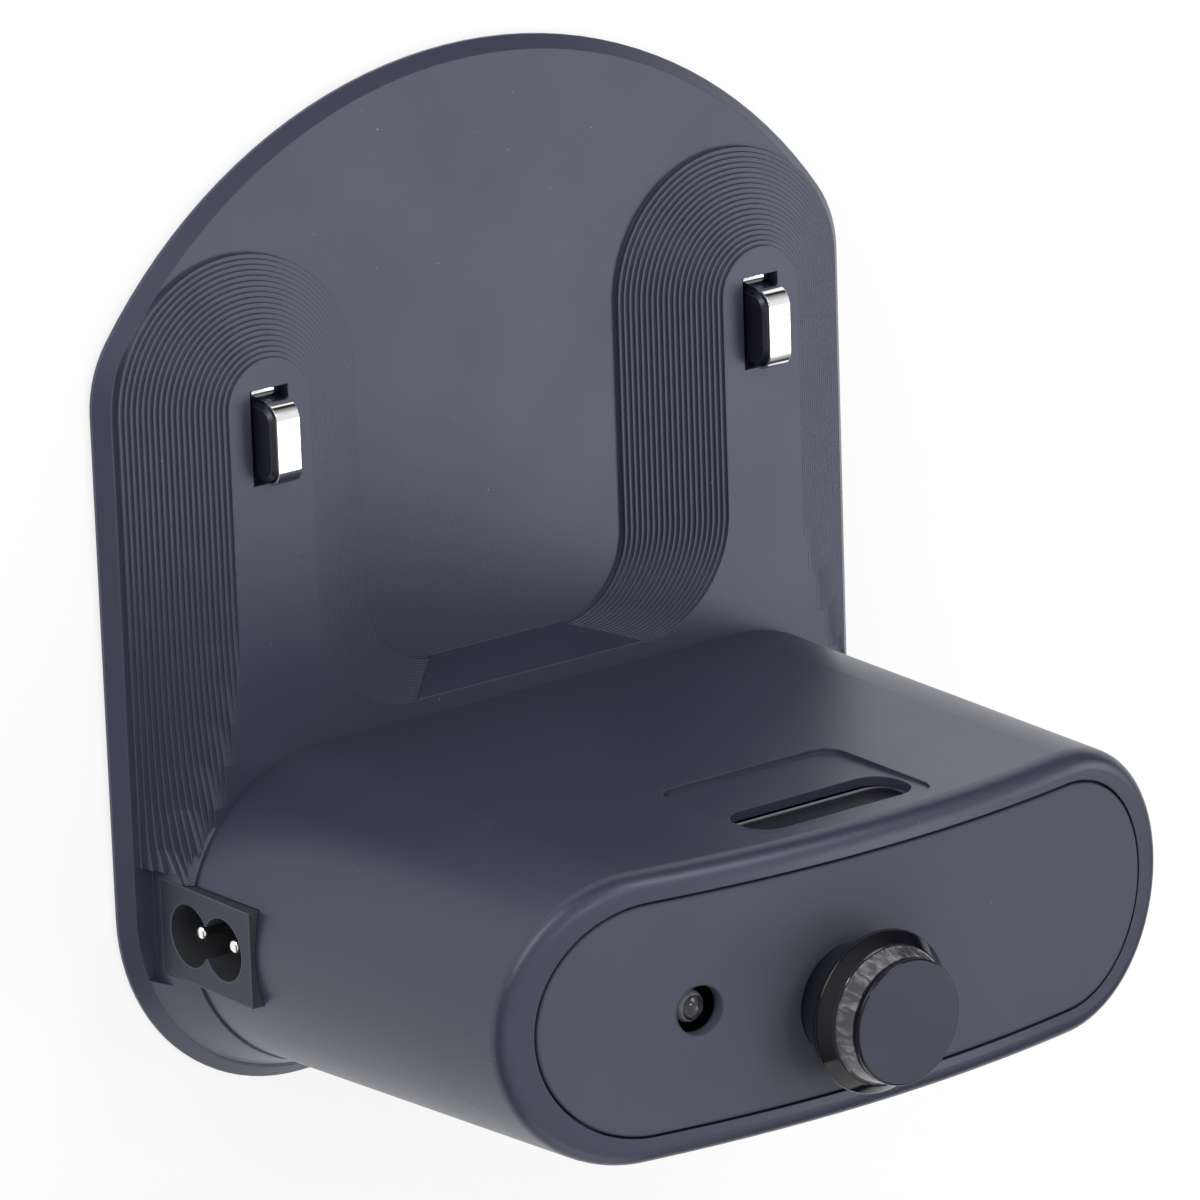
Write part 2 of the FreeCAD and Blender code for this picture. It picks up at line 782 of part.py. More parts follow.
def contact_nose(middle, half, low, thickness):
    """The nose's form: a sloped front, and rounded front and rear top edges, grown by a thickness."""
    base = ceiling_z - size.flange_gap - size.flange_thickness
    top = pad_z + size.block_rise + thickness
    slope = size.block_slope / (pad_z + size.block_rise - base)
    front = size.block_front - thickness
    rear = size.block_rear + thickness
    outline = [
        Vector(middle - half, front - slope * (top - low), low),
        Vector(middle - half, front, top),
        Vector(middle - half, rear, top),
        Vector(middle - half, rear, low),
    ]
    nose = Part.Face(Part.makePolygon(outline + outline[:1])).extrude(Vector(2 * half, 0, 0))
    ends = [edge for edge in nose.Edges if edge.BoundBox.ZMin > low and edge.BoundBox.YLength < 1e-6]
    return nose.makeFillet(size.block_round + thickness, ends)


def contact_strip(sign):
    """Bent metal strip over the nose, with a tail lying on the toe."""
    middle = sign * size.finger_x
    core = contact_nose(middle, 2 * size.strip_half, ceiling_z, 0)
    band = contact_nose(middle, size.strip_half, ceiling_z, size.strip_thickness)
    tail = Part.makeBox(2 * size.strip_half, size.strip_tail, size.strip_thickness,
                        Vector(middle - size.strip_half, size.block_front - size.strip_tail, ceiling_z))
    return band.fuse(tail).cut(core).removeSplitter()


def contact_spring(sign):
    """Coil between the fixed terminal and the contact's flange, in short mitred runs of wire."""
    low = cover_top + size.terminal_thickness + size.spring_wire / 2
    high = ceiling_z - size.flange_gap - size.flange_thickness - size.spring_wire / 2
    middle = Vector(sign * size.finger_x, (size.block_front + size.block_rear) / 2, low)
    runs = int(size.spring_turns * size.spring_sides)
    points = []
    for run in range(runs + 1):
        angle = 2 * math.pi * run / size.spring_sides
        points.append(middle + Vector(size.spring_radius * math.cos(angle),
                                      size.spring_radius * math.sin(angle), (high - low) * run / runs))
    section = Part.Wire([Part.Circle(points[0], points[1] - points[0], size.spring_wire / 2).toShape()])
    mitred = 1
    return Part.makePolygon(points).makePipeShell([section], True, False, mitred)


def lamp(name, x, y, low, length):
    """A flanged lamp with a domed top, standing up."""
    flange = rod(name + "_flange", "z", (x, y, low), "led_radius + led_flange", "led_flange_height")
    body = rod(name + "_body", "z", (x, y, low), "led_radius", length)
    dome = doc.addObject("Part::Sphere", name + "_dome")
    bind(dome, "Radius", "led_radius")
    for letter, text in zip("xyz", (x, y, f"({low}) + ({length})")):
        bind(dome, f"Placement.Base.{letter}", text)
    return fuse(name, flange, body, dome)


def centred_box(name, x, width, y_range, z, height):
    return box(name, (f"{x} - {width} / 2", f"{x} + {width} / 2"), y_range,
               (f"{z} - {height} / 2", f"{z} + {height} / 2"))


def board_block(name, stem):
    """A block-shaped component on the front of the supply board."""
    return node(centred_box(name, f"{stem}_x", f"{stem}_width", (f"board_y - {stem}_depth", "board_y"),
                            f"{stem}_z", f"{stem}_height"), name)


def make_feet():
    for end, y in (("front", "foot_front_y"), ("rear", "foot_rear_y")):
        for side, sign in SIDES:
            name = f"foot_{end}_{side}"
            node(rod(name, "z", (f"{sign} * foot_x", y, "0"), "foot_radius", "foot_height"), name)


def make_screws():
    for end, way in (("rear", 1), ("front", -1)):
        for side, sign in SIDES:
            name = f"cover_screw_{end}_{side}"
            place = (f"{sign} * boss_x", f"tower_y + {way} * boss_offset")
            seat = "foot_height + screw_gap"
            head = rod(name + "_head", "z", (*place, seat), "screw_head_radius", "screw_head_height")
            shank = rod(name + "_shank", "z", (*place, seat), "screw_radius", "screw_length")
            node(fuse(name, head, shank), name)


def make_contacts():
    for side, sign in SIDES:
        node(shaped(f"block_{side}", contact_block(sign)), f"contact_block_{side}")
        node(shaped(f"strip_{side}", contact_strip(sign)), f"contact_strip_{side}")
        node(shaped(f"spring_{side}", contact_spring(sign)), f"contact_spring_{side}")
        name = f"contact_terminal_{side}"
        middle = f"{sign} * finger_x"
        node(box(name, (f"{middle} - terminal_half", f"{middle} + terminal_half"),
                 ("terminal_front", "terminal_rear"), (COVER_TOP, TERMINAL_TOP)), name)


def make_beacon():
    place = ("beacon_x", "beacon_y")
    drum = rod("crown_drum", "y", ("0", "tower_y - 2 * tower_radius", "tower_top - crown_radius"),
               "crown_radius", "4 * tower_radius")
    foot = rod("collar_foot", "z", (*place, "tower_top - collar_sink"), "collar_foot_radius", "collar_sink")
    flare = cone("collar_flare", (*place, "tower_top"), "collar_foot_radius", "collar_radius", "collar_edge")
    slope = cone("collar_slope", (*place, COLLAR_RIM), "collar_radius", "lens_low_radius", "collar_cone")
    seated = cut("collar_seated", fuse("collar_blank", foot, flare, slope), drum)
    neck = rod("collar_neck", "z", (*place, "tower_top - collar_neck_length"), "collar_neck_radius",
               "collar_neck_length + collar_edge")
    bore = rod("collar_hole", "z", (*place, "tower_top - collar_neck_length"), "collar_bore",
               "collar_neck_length + collar_edge + collar_cone")
    node(cut("beacon_collar", fuse("collar_whole", seated, neck), bore), "beacon_collar")
    ring = cone("lens_ring", (*place, COLLAR_TOP), "lens_low_radius", "lens_high_radius", "lens_height")
    hole = rod("lens_hole", "z", (*place, COLLAR_TOP), "lens_high_radius - lens_wall", "lens_height")
    node(cut("beacon_lens", ring, hole), "beacon_lens")
    node(beacon_cap(), "beacon_cap")
    mirror_radius = "lens_high_radius - lens_wall - reflector_gap"
    node(cone("beacon_reflector", (*place, f"{LENS_TOP} - reflector_height"), "reflector_tip",
              mirror_radius, "reflector_height"), "beacon_reflector")
    node(lamp("beacon_emitter", *place, EMITTER_TOP, "emitter_length"), "beacon_emitter")


def beacon_cap():
    """Round cap: a padded disc with its top edge rounded."""
    body = doc.addObject("PartDesign::Body", "cap")
    ground = next(plane for plane in body.Origin.OriginFeatures if plane.Role == "XY_Plane")
    sketch = body.newObject("Sketcher::SketchObject", "cap_outline")
    sketch.AttachmentSupport = [(ground, "")]
    sketch.MapMode = "FlatFace"
    sketch.addGeometry(Part.Circle(Vector(), Vector(0, 0, 1), size.lens_high_radius))
    sketch.addConstraint(Sketcher.Constraint("Coincident", 0, 3, -1, 1))
    sketch.addConstraint(Sketcher.Constraint("Radius", 0, size.lens_high_radius))
    bind(sketch, "Constraints[1]", "lens_high_radius")
    pad = body.newObject("PartDesign::Pad", "cap_disc")
    pad.Profile = sketch
    bind(pad, "Length", "cap_thickness")
    doc.recompute()
    top = [f"Edge{index}" for index, edge in enumerate(pad.Shape.Edges, start=1)
           if edge.BoundBox.ZMin > size.cap_thickness / 2]
    rounding = body.newObject("PartDesign::Fillet", "cap_rounding")
    rounding.Base = (pad, top)
    bind(rounding, "Radius", "cap_round")
    for letter, text in zip("xyz", ("beacon_x", "beacon_y", LENS_TOP)):
        bind(body, f"Placement.Base.{letter}", text)
    return body


def make_lamps():
    """Status lamp in the panel, and the two guide emitters in their holder behind the window."""
    surface = "(tower_top - crown_radius + sqrt(crown_radius ^ 2 - led_x ^ 2))"
    flange = f"({surface} - led_depth - led_radius - led_length)"
    node(lamp("status_lamp", "led_x", "tower_top_y", flange, "led_length"), "status_lamp")
    node(rod("lamp_spacer", "z", ("led_x", "tower_top_y", EMITTER_TOP), "led_radius + led_flange",
             f"{flange} - {EMITTER_TOP}"), "lamp_spacer")
    rear = "emitter_board_front + holder_depth"
    height = "((slot_low + slot_high) / 2)"
    holder = box("holder_blank", ("-holder_half", "holder_half"), ("emitter_board_front", rear),
                 (EMITTER_TOP, f"{EMITTER_TOP} + holder_height"))
    bores = [rod(f"holder_bore_{side}", "y", (f"{sign} * emitter_x", "emitter_board_front", height),
                 "led_radius + led_fit", "holder_depth") for side, sign in SIDES]
    node(cut("emitter_holder", holder, *bores), "emitter_holder")
    for side, sign in SIDES:
        name = f"guide_emitter_{side}"
        x = f"{sign} * emitter_x"
        nose = "emitter_board_front - emitter_nose"
        body = rod(name + "_body", "y", (x, nose, height), "led_radius", "emitter_nose + holder_depth")
        back = rod(name + "_flange", "y", (x, rear, height), "led_radius + led_flange", "led_flange_height")
        dome = doc.addObject("Part::Sphere", name + "_dome")
        bind(dome, "Radius", "led_radius")
        for letter, text in zip("xyz", (x, nose, height)):
            bind(dome, f"Placement.Base.{letter}", text)
        node(fuse(name, body, back, dome), name)


def make_window():
    """Dark window plate behind the slot, against the inside of the front wall."""
    share = f"((slot_low - window_lap - {PAD}) / (tower_top - {PAD}))"
    lower_y = f"(tower_y + (tower_top_y - tower_y) * {share})"
    lower_radius = f"(tower_radius + (tower_top_radius - tower_radius) * {share})"
    deeper = f"max(tower_top_y - tower_top_radius; {lower_y} - {lower_radius})"
    back = f"{deeper} + tower_wall"
    node(box("guide_window", ("-window_half", "window_half"), (back, f"{back} + window_thickness"),
             ("slot_low - window_lap", "slot_high + window_lap")), "guide_window")


def make_inlet():
    """Figure-of-eight mains inlet: housing with its cavity, and two pins with solder tails."""
    half = "(inlet_width / 2 - inlet_gap)"
    housing = box("housing_blank", (INLET_BACK, INLET_FACE), (f"tower_y - {half}", f"tower_y + {half}"),
                  ("inlet_low", "inlet_low + inlet_height - inlet_gap"))
    mouth = f"{INLET_FACE} - inlet_cavity_depth"
    hollows = [box("waist", (mouth, INLET_FACE), ("tower_y - waist_half", "tower_y + waist_half"),
                   (f"{INLET_Z} - pin_spacing / 2", f"{INLET_Z} + pin_spacing / 2"))]
    tail = f"{INLET_BACK} - pin_tail"
    for pole, sign in (("upper", 1), ("lower", -1)):
        height = f"{INLET_Z} + {sign} * pin_spacing / 2"
        hollows.append(rod(f"lobe_{pole}", "x", (mouth, "tower_y", height), "lobe_radius",
                           "inlet_cavity_depth"))
        hollows.append(rod(f"pin_hole_{pole}", "x", (INLET_BACK, "tower_y", height),
                           "pin_radius + pin_fit", "inlet_depth"))
        node(rod(f"inlet_pin_{pole}", "x", (tail, "tower_y", height), "pin_radius",
                 f"{INLET_FACE} - pin_recess - ({tail})"), f"inlet_pin_{pole}")
    node(cut("inlet_housing", housing, *hollows), "inlet_housing")


def make_boards():
    node(box("power_board", ("-board_half", "board_half"), ("board_y", "board_y + board_thickness"),
             ("board_low", "board_high")), "power_board")
    blank = box("emitter_blank", ("-emitter_board_half", "emitter_board_half"),
                ("emitter_board_front", "emitter_board_rear"), ("emitter_board_z", EMITTER_TOP))
    holes = []
    for side, sign in SIDES:
        place = (f"{sign} * (emitter_board_half - shelf_reach / 2)", "tower_top_y + shelf_setback")
        holes.append(rod(f"board_hole_{side}", "z", (*place, "emitter_board_z"),
                         "shelf_screw_radius + screw_gap", "board_thickness"))
        name = f"board_screw_{side}"
        low = "emitter_board_z - shelf_thickness"
        shank = rod(name + "_shank", "z", (*place, low), "shelf_screw_radius",
                    "shelf_thickness + board_thickness")
        head = rod(name + "_head", "z", (*place, EMITTER_TOP), "2 * shelf_screw_radius",
                   "shelf_screw_radius")
        node(fuse(name, shank, head), name)
    node(cut("emitter_board", blank, *holes), "emitter_board")
    node(box("ballast_plate", ("-ballast_half", "ballast_half"), ("ballast_front", "ballast_rear"),
             (COVER_TOP, f"{COVER_TOP} + ballast_thickness")), "ballast_plate")


def make_components():
    """What stands on the front of the supply board."""
    front = "board_y - core_depth"
    core = centred_box("core_blank", "core_x", "core_width", (front, "board_y"), "core_z", "core_height")
    openings = []
    for side, sign in SIDES:
        near = f"core_x + {sign} * core_width / 4"
        room = "(core_width / 2 - 2 * core_leg) / 2"
        openings.append(box(f"core_window_{side}", (f"{near} - {room}", f"{near} + {room}"),
                            (front, "board_y"),
                            ("core_z - core_height / 2 + core_leg", "core_z + core_height / 2 - core_leg")))
    node(cut("transformer_core", core, *openings), "transformer_core")
    reach = "(core_width / 2 - core_leg - winding_gap)"
    tall = "(core_height / 2 - core_leg - winding_gap)"
    coil = box("coil_blank", (f"core_x - {reach}", f"core_x + {reach}"),
               (f"{front} - core_leg", "board_y"), (f"core_z - {tall}", f"core_z + {tall}"))
    leg = "(core_leg + winding_gap)"
    hole = box("coil_hole", (f"core_x - {leg}", f"core_x + {leg}"), (front, "board_y"),
               (f"core_z - {tall}", f"core_z + {tall}"))
    node(cut("transformer_winding", coil, hole), "transformer_winding")
    node(rod("mains_capacitor", "y", ("bulk_x", "board_y - bulk_length", "bulk_z"), "bulk_radius",
             "bulk_length"), "mains_capacitor")
    for order in (1, 2):
        name = f"output_capacitor_{order}"
        node(rod(name, "y", (f"smooth_x - {order - 1} * smooth_pitch", "board_y - smooth_length",
                             "smooth_z"), "smooth_radius", "smooth_length"), name)
    node(rod("fuse_link", "y", ("fuse_x", "board_y - fuse_length", "fuse_z"), "fuse_radius",
             "fuse_length"), "fuse_link")
    board_block("filter_capacitor", "filter")
    board_block("bridge_rectifier", "bridge")
    node(box("heat_sink", ("sink_x - sink_width / 2", "sink_x + sink_width / 2"),
             ("board_y - sink_depth", "board_y"), ("sink_z", "sink_z + sink_thickness")), "heat_sink")
    node(box("power_switch", ("sink_x - switch_width / 2", "sink_x + switch_width / 2"),
             ("board_y - switch_depth", "board_y"), ("sink_z - switch_thickness", "sink_z")),
         "power_switch")
    base = rod("choke_foot", "y", ("choke_x", "board_y - choke_base", "choke_z"), "choke_radius",
               "choke_base")
    ring = doc.addObject("Part::Torus", "choke_winding")
    ring.Placement = Placement(Vector(), TURNS["y"])
    bind(ring, "Radius1", "choke_radius")
    bind(ring, "Radius2", "choke_ring")
    for letter, text in zip("xyz", ("choke_x", "board_y - choke_base - choke_ring + choke_sink", "choke_z")):
        bind(ring, f"Placement.Base.{letter}", text)
    node(fuse("input_choke", base, ring), "input_choke")
    for use in ("mains", "output", "signal"):
        name = f"{use}_header"
        node(centred_box(name, f"{use}_header_x", "header_width", ("board_y - header_depth", "board_y"),
                         f"{use}_header_z", "header_height"), name)


def make_leads():
    """Insulated wires from the contacts, the inlet and the emitter board to the supply board."""
    header_face = size.board_y - size.header_depth
    split = size.header_width / 4
    low = cover_top + size.terminal_thickness + size.lead_radius
    for side, sign in SIDES:
        x = sign * size.finger_x
        end = size.output_header_x + sign * split
        route = [
            (x, size.terminal_rear - size.lead_overlap, low),
            (x, size.lead_turn_y, low),
            (sign * size.lead_rise_x, size.lead_cross_y, size.output_header_z),
            (end, size.lead_cross_y, size.output_header_z),
            (end, header_face, size.output_header_z),
        ]
        node(shaped(f"lead_{side}", lead(route, size.lead_radius, size.lead_bend)), f"contact_lead_{side}")
    tail = tower_end + size.inlet_proud - size.inlet_depth - size.pin_tail
    for pole, sign in (("upper", 1), ("lower", -1)):
        x = size.mains_header_x + sign * split
        height = size.inlet_low + size.inlet_height / 2 + sign * size.pin_spacing / 2
        route = [
            (tail, size.tower_y, height),
            (x, size.tower_y, height),
            (x, size.tower_y, size.mains_header_z),
            (x, header_face, size.mains_header_z),
        ]
        node(shaped(f"mains_{pole}", lead(route, size.lead_radius, size.lead_bend)), f"mains_lead_{pole}")
    route = [
        (size.signal_header_x, header_face, size.signal_header_z),
        (size.signal_header_x, size.tower_y, size.signal_header_z),
        (size.signal_lead_x, size.tower_y, size.signal_lead_z),
        (size.signal_lead_x, size.tower_y, size.emitter_board_z),
    ]
    node(shaped("signal", lead(route, size.lead_radius, size.lead_bend)), "signal_lead")


def main():
    node(shaped("plate_top", base_top()), "base_top")
    node(shaped("plate_cover", base_cover()), "base_cover")
    node(shaped("tower", tower_shell()), "tower_shell")
    node(shaped("panel", top_panel()), "top_panel")
    make_feet()
    make_screws()
    make_contacts()
    make_beacon()
    make_lamps()
    make_window()
    make_inlet()
    make_boards()
    make_components()
    make_leads()
    doc.recompute()
    for item in doc.Objects:
        if "Invalid" in item.State or "Error" in item.State:
            raise RuntimeError(f"{item.Name} failed: {item.State}")
    for item in NODES:
        if item.Shape.isNull() or not item.Shape.isValid() or not item.Shape.Solids:
            raise RuntimeError(f"{item.Label} has no valid solid")
    os.makedirs("parts", exist_ok=True)
    for item in NODES:
        item.Shape.exportStep(f"parts/{item.Label}.step")
        print(item.Label, len(item.Shape.Solids), round(item.Shape.Volume, 1))


main()
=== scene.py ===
"""Looks of a robot vacuum's charging dock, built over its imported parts.

Run as a script in Blender. The frame is the one of the parts, in metres: +Z is up, -Y is the side that the
robot drives on from, and +X is the side with the mains inlet.
"""
import json
import math

import bmesh
import bpy
from bpy.props import FloatProperty, FloatVectorProperty, IntProperty, PointerProperty
from bpy.types import Operator, Panel, PropertyGroup
from mathutils import Matrix, Vector


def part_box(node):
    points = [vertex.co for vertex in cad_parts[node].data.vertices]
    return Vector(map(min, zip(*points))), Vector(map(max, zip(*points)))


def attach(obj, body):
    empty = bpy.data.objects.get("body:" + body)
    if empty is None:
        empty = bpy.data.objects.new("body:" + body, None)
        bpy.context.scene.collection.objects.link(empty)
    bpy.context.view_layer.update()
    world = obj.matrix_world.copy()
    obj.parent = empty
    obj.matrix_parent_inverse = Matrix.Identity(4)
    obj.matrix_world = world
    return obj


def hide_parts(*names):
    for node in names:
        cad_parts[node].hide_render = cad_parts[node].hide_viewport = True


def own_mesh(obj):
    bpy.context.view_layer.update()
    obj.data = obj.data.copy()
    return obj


bl_info = {
    "name": "Charging dock looks",
    "version": (1, 0, 0),
    "blender": (4, 5, 0),
    "location": "View3D > Sidebar > Dock",
    "description": "Finishes and modelled pieces of a robot vacuum's charging dock",
    "category": "Object",
}

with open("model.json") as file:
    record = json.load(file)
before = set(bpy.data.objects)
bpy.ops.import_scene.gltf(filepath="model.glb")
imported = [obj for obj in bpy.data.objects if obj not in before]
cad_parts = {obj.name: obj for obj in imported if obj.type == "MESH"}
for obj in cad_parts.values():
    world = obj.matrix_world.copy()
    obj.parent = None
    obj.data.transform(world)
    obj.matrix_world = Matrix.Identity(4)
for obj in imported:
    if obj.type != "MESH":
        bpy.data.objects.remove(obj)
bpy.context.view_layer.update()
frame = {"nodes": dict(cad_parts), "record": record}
SLOT_OF = {part["node"]: part["material_slot"] for part in frame["record"]["subparts"]}
SIDES = ("left", "right")
SIZE_PRECISION = 5

# Points nearer than this are one, and a face or edge faces a way from this cosine on.
MERGE = 1e-7
FACING = 0.9

# Shape details.
BENT_SHARP = 50.0
WIRE_SIDES = 12
SPRING_STEPS = 32
DOME_STEPS = 9
WINDOW_ROUND = 0.7
WINDOW_SEGMENTS = 10
BEAD_ROUND = 0.45
FLOOR_HALF = 4.0

# Colours and levels of the finishes that aren't among the colours to change.
WHITE = (1.0, 1.0, 1.0)
BLACK = (0.0, 0.0, 0.0)
# Painted shade: how dark the shells' inner corners are painted, as a share of their colour.
CREASE_SHADE = 0.88
# Painted shade deep inside the mains inlet.
INLET_PAINTED_SHADE = (0.045, 0.046, 0.052)
# Painted highlight on the edges of the mains inlet.
INLET_PAINTED_HIGHLIGHT = (0.13, 0.14, 0.17)
# Painted highlight: the pale colour of the guide window's bead.
BEAD_PAINTED_HIGHLIGHT = (0.20, 0.20, 0.23)
ACRYLIC_IOR = 1.49

# Spans and scales of the patterns.
FULL_SPAN = (0.0, 1.0)
NOISE_SPAN = (0.3, 0.7)
STREAK_SPAN = (0.48, 0.7)
EDGE_TURN = (0.995, 0.88)
CORNER_OPEN = (0.92, 0.45)
SLOW_SCALE = 60.0
SPECK_SCALE = 1500.0
SPECK_GAIN = 14.0
STAIN_SCALE = 300.0
LINE_STRETCH = (0.04, 1.0, 1.0)
STREAK_STRETCH = (1.0, 1.0, 0.35)
DOME_RISE = (0.2, 0.75)

# The colour sockets of a Mix node, and the camera's frame in millimetres and nearest distance in metres.
MIX_FACTOR, MIX_FIRST, MIX_SECOND, MIX_RESULT = 0, 6, 7, 2
FRAME_WIDTH = 36.0
CLIP_START = 0.05


def length(label, text, default):
    return FloatProperty(name=label, description=text, default=default, min=0.0, unit="LENGTH",
                         precision=SIZE_PRECISION)


def tint(label, text, default):
    return FloatVectorProperty(name=label, description=text, default=default, min=0.0, max=1.0, size=3,
                               subtype="COLOR")


def way(label, text, default):
    return FloatVectorProperty(name=label, description=text, default=default, size=3, subtype="DIRECTION")


def level(label, text, default, most=1.0):
    return FloatProperty(name=label, description=text, default=default, min=0.0, max=most)


class DockSizes(PropertyGroup):
    """Sizes of what is modelled here."""
    shell_edge: length("Shell edge", "Rounding of the edges of the plate and the tower", 0.0002)
    crease: length("Crease", "How far the shade in the shells' inner corners reaches", 0.0004)
    panel_edge: length("Panel edge", "Rounding of the edges of the top panel", 0.0007)
    inlet_edge: length("Inlet edge", "Rounding of the edges of the mains inlet", 0.0004)
    contact_edge: length("Contact edge", "Rounding of the edges of the contacts' carriers", 0.0003)
    shell_grain: length("Shell grain", "Width of a grain of the shells' texture", 0.00038)
    grain_depth: length("Grain depth", "Depth of the shells' texture", 0.00002)
    crown_radius: length("Crown radius", "Radius of the tower's crowned top", 0.2067)
    collar_foot: length("Collar foot", "Radius of the collar's foot on the crown", 0.009)
    collar_rim: length("Collar rim", "Height of the collar's rim above the crown", 0.0069)
    collar_seat: length("Collar seat", "How far the collar's foot reaches below the crown's top", 0.001)
    collar_edge: length("Collar edge", "Rounding of the collar's edges", 0.0005)
    collar_neck: length("Collar neck", "Radius of the collar's neck", 0.0075)
    collar_bore: length("Collar bore", "Radius of the hole through the collar", 0.006)
    lens_taper: length("Lens taper", "How much narrower the lens is at its top", 0.0009)
    lens_wall: length("Lens wall", "Wall of the lens at its top", 0.0016)
    lens_lip: length("Lens lip", "Height and depth of the lip round the lens's foot", 0.00025)
    cap_edge: length("Cap edge", "Rounding of the cap's upper edge", 0.00045)
    lamp_radius: length("Lamp radius", "Radius of the status lamp's dome", 0.0025)
    lamp_cup: length("Lamp cup", "Inner radius of the pale ring round the status lamp's dome", 0.0018)
    lamp_flange: length("Lamp flange", "Height of the status lamp's flange", 0.001)
    window_sink: length("Window sink", "How far the guide window lies behind its bead", 0.0003)
    bead_reach: length("Bead reach", "From the guide window's edge to its bead", 0.00075)
    bead_width: length("Bead width", "Width of the bead round the guide window", 0.00032)
    # Painted shade fills the inlet deeper than this.
    inlet_lip: length("Inlet lip", "Depth of the inlet's mouth that catches light", 0.0008)
    strip_bend: length("Strip bend", "Outer radius of the contact strips' bends", 0.0026)
    strip_metal: length("Strip metal", "Thickness of the contact strips", 0.0004)
    strip_reach: length("Strip reach", "From the strip tail's end to the top of its front leg", 0.0015)
    strip_slope: length("Strip slope", "How far the strips' front leg leans forward", 0.0009)
    strip_corner: length("Strip corner", "Rounding of the strip tail's corners", 0.0004)
    spring_wire: length("Spring wire", "Thickness of the contact springs' wire", 0.0005)
    spring_turns: FloatProperty(name="Spring turns", description="Turns of a contact spring", default=4.5,
                                min=1.0)
    contact_travel: length("Contact travel", "How far a contact is pressed at its limit", 0.003)
    screw_head: length("Screw head", "Height of a cover screw's head", 0.0014)
    screw_shank: length("Screw shank", "Radius of a cover screw's shank", 0.00115)
    recess_reach: length("Screw recess", "Half the length of a screw's cross recess", 0.0016)
    recess_half: length("Recess half width", "Half the width of a screw's cross recess", 0.0004)
    recess_depth: length("Recess depth", "Depth of a screw's cross recess", 0.0007)
    pin_tip: length("Pin tip", "Rounding of the inlet pins' tips", 0.0007)
    foot_edge: length("Foot edge", "Rounding of the feet", 0.0002)
    turn_steps: IntProperty(name="Turning steps", description="Faces round a turned piece", default=96,
                            min=12)


class DockColours(PropertyGroup):
    """Colours of the main finishes."""
    shell: tint("Shell", "Plate and tower", (0.031, 0.035, 0.061))
    panel: tint("Panel", "Top panel", (0.074, 0.079, 0.109))
    cap: tint("Cap", "Top of the beacon's cap", (0.029, 0.032, 0.052))
    speck: tint("Specks", "Pale specks in the shells' texture", (0.30, 0.31, 0.35))
    # Painted highlight: the colour painted on the edges of the shells, the top panel and the contacts'
    # carriers.
    edge: tint("Edges", "Rubbed edges of the shells", (0.052, 0.057, 0.083))
    glint: tint("Glints", "Tint of the reflections in the slate plastic", (0.80, 0.86, 1.0))
    gloss: tint("Gloss black", "Collar of the beacon", (0.006, 0.006, 0.009))
    carrier: tint("Carrier black", "Carriers of the contacts", (0.010, 0.010, 0.017))
    inlet: tint("Inlet", "Housing of the mains inlet", (0.030, 0.034, 0.052))
    smoke: tint("Smoke", "Dark part of the beacon's lens", (0.075, 0.075, 0.09))
    streak: tint("Streaks", "Pale part of the beacon's lens", (0.36, 0.36, 0.39))
    nickel: tint("Nickel", "Contacts and pins", (0.97, 0.96, 0.94))


class DockStage(PropertyGroup):
    """Camera and light."""
    camera_place: FloatVectorProperty(name="Camera place", description="Where the camera stands", size=3,
                                      subtype="TRANSLATION", default=(0.71972, -0.35841, 0.9823))
    camera_right: FloatVectorProperty(name="Camera right", description="Direction to the picture's right",
                                      size=3, subtype="DIRECTION", default=(-0.79135, 0.03229, 0.61051))
    camera_down: FloatVectorProperty(name="Camera down", description="Direction to the picture's foot",
                                     size=3, subtype="DIRECTION", default=(0.20206, 0.95630, 0.21134))
    camera_lens: FloatProperty(name="Camera lens", description="Focal length on a 36 mm frame",
                               default=247.287, unit="CAMERA")
    ambient: level("Low surroundings", "Brightness of the surroundings near the horizon", 0.02, 5.0)
    dome: level("High surroundings", "Brightness of the surroundings overhead", 0.84, 5.0)
    light_reach: length("Light distance", "Distance of the soft lights from the dock", 1.5)
    key_size: length("Key size", "Width of the soft light behind the far side", 0.6)
    key_power: level("Key power", "Power of the soft light behind the far side", 2.2, 100.0)
    key_way: way("Key direction", "Where the soft light behind the far side stands", (-0.58, 0.27, 0.77))
    front_size: length("Front size", "Width of the soft light in front", 0.6)
    front_power: level("Front power", "Power of the soft light in front", 3.9, 100.0)
    front_way: way("Front direction", "Where the soft light in front stands", (-0.3, -0.6, 0.74))
    far_size: length("Far size", "Width of the soft light at the far side", 0.6)
    far_power: level("Far power", "Power of the soft light at the far side", 2.2, 100.0)
    far_way: way("Far direction", "Where the soft light at the far side stands", (-0.9, 0.1, 0.4))
    line_size: length("Line size", "Width of the small light overhead", 0.15)
    line_power: level("Line power", "Power of the small light overhead", 1.5, 100.0)
    line_way: way("Line direction", "Where the small light overhead stands", (0.1, -0.25, 0.96))
    rear_size: length("Rear size", "Width of the soft light behind the tower", 1.3)
    rear_power: level("Rear power", "Power of the soft light behind the tower", 5.0, 100.0)
    rear_way: way("Rear direction", "Where the soft light behind the tower stands", (0.1, 0.96, 0.22))
    rim_size: length("Rim size", "Width of the low, flat light that draws the beacon's rim", 1.3)
    rim_power: level("Rim power", "Power of the low, flat light", 8.0, 100.0)
    rim_way: way("Rim direction", "Where the low, flat light stands", (0.74, -0.64, 0.2))
    rim_flat: level("Rim flatness", "Height of the low light as a share of its width", 0.35)
    floor_drop: length("Floor drop", "How far the floor lies below the feet", 0.0001)
    floor_near: length("Near floor", "How far out the floor is white in reflections", 0.25)
    floor_far: length("Far floor", "How far out the floor has faded in reflections", 0.7)
    floor_share: level("Floor glow", "Share of the floor that is plain white to the camera", 0.78)


# Node groups and finishes made so far.
GROUPS = {}
FINISHES = {}


def sizes():
    return bpy.context.scene.dock_sizes


def colours():
    return bpy.context.scene.dock_colours


def stage():
    return bpy.context.scene.dock_stage


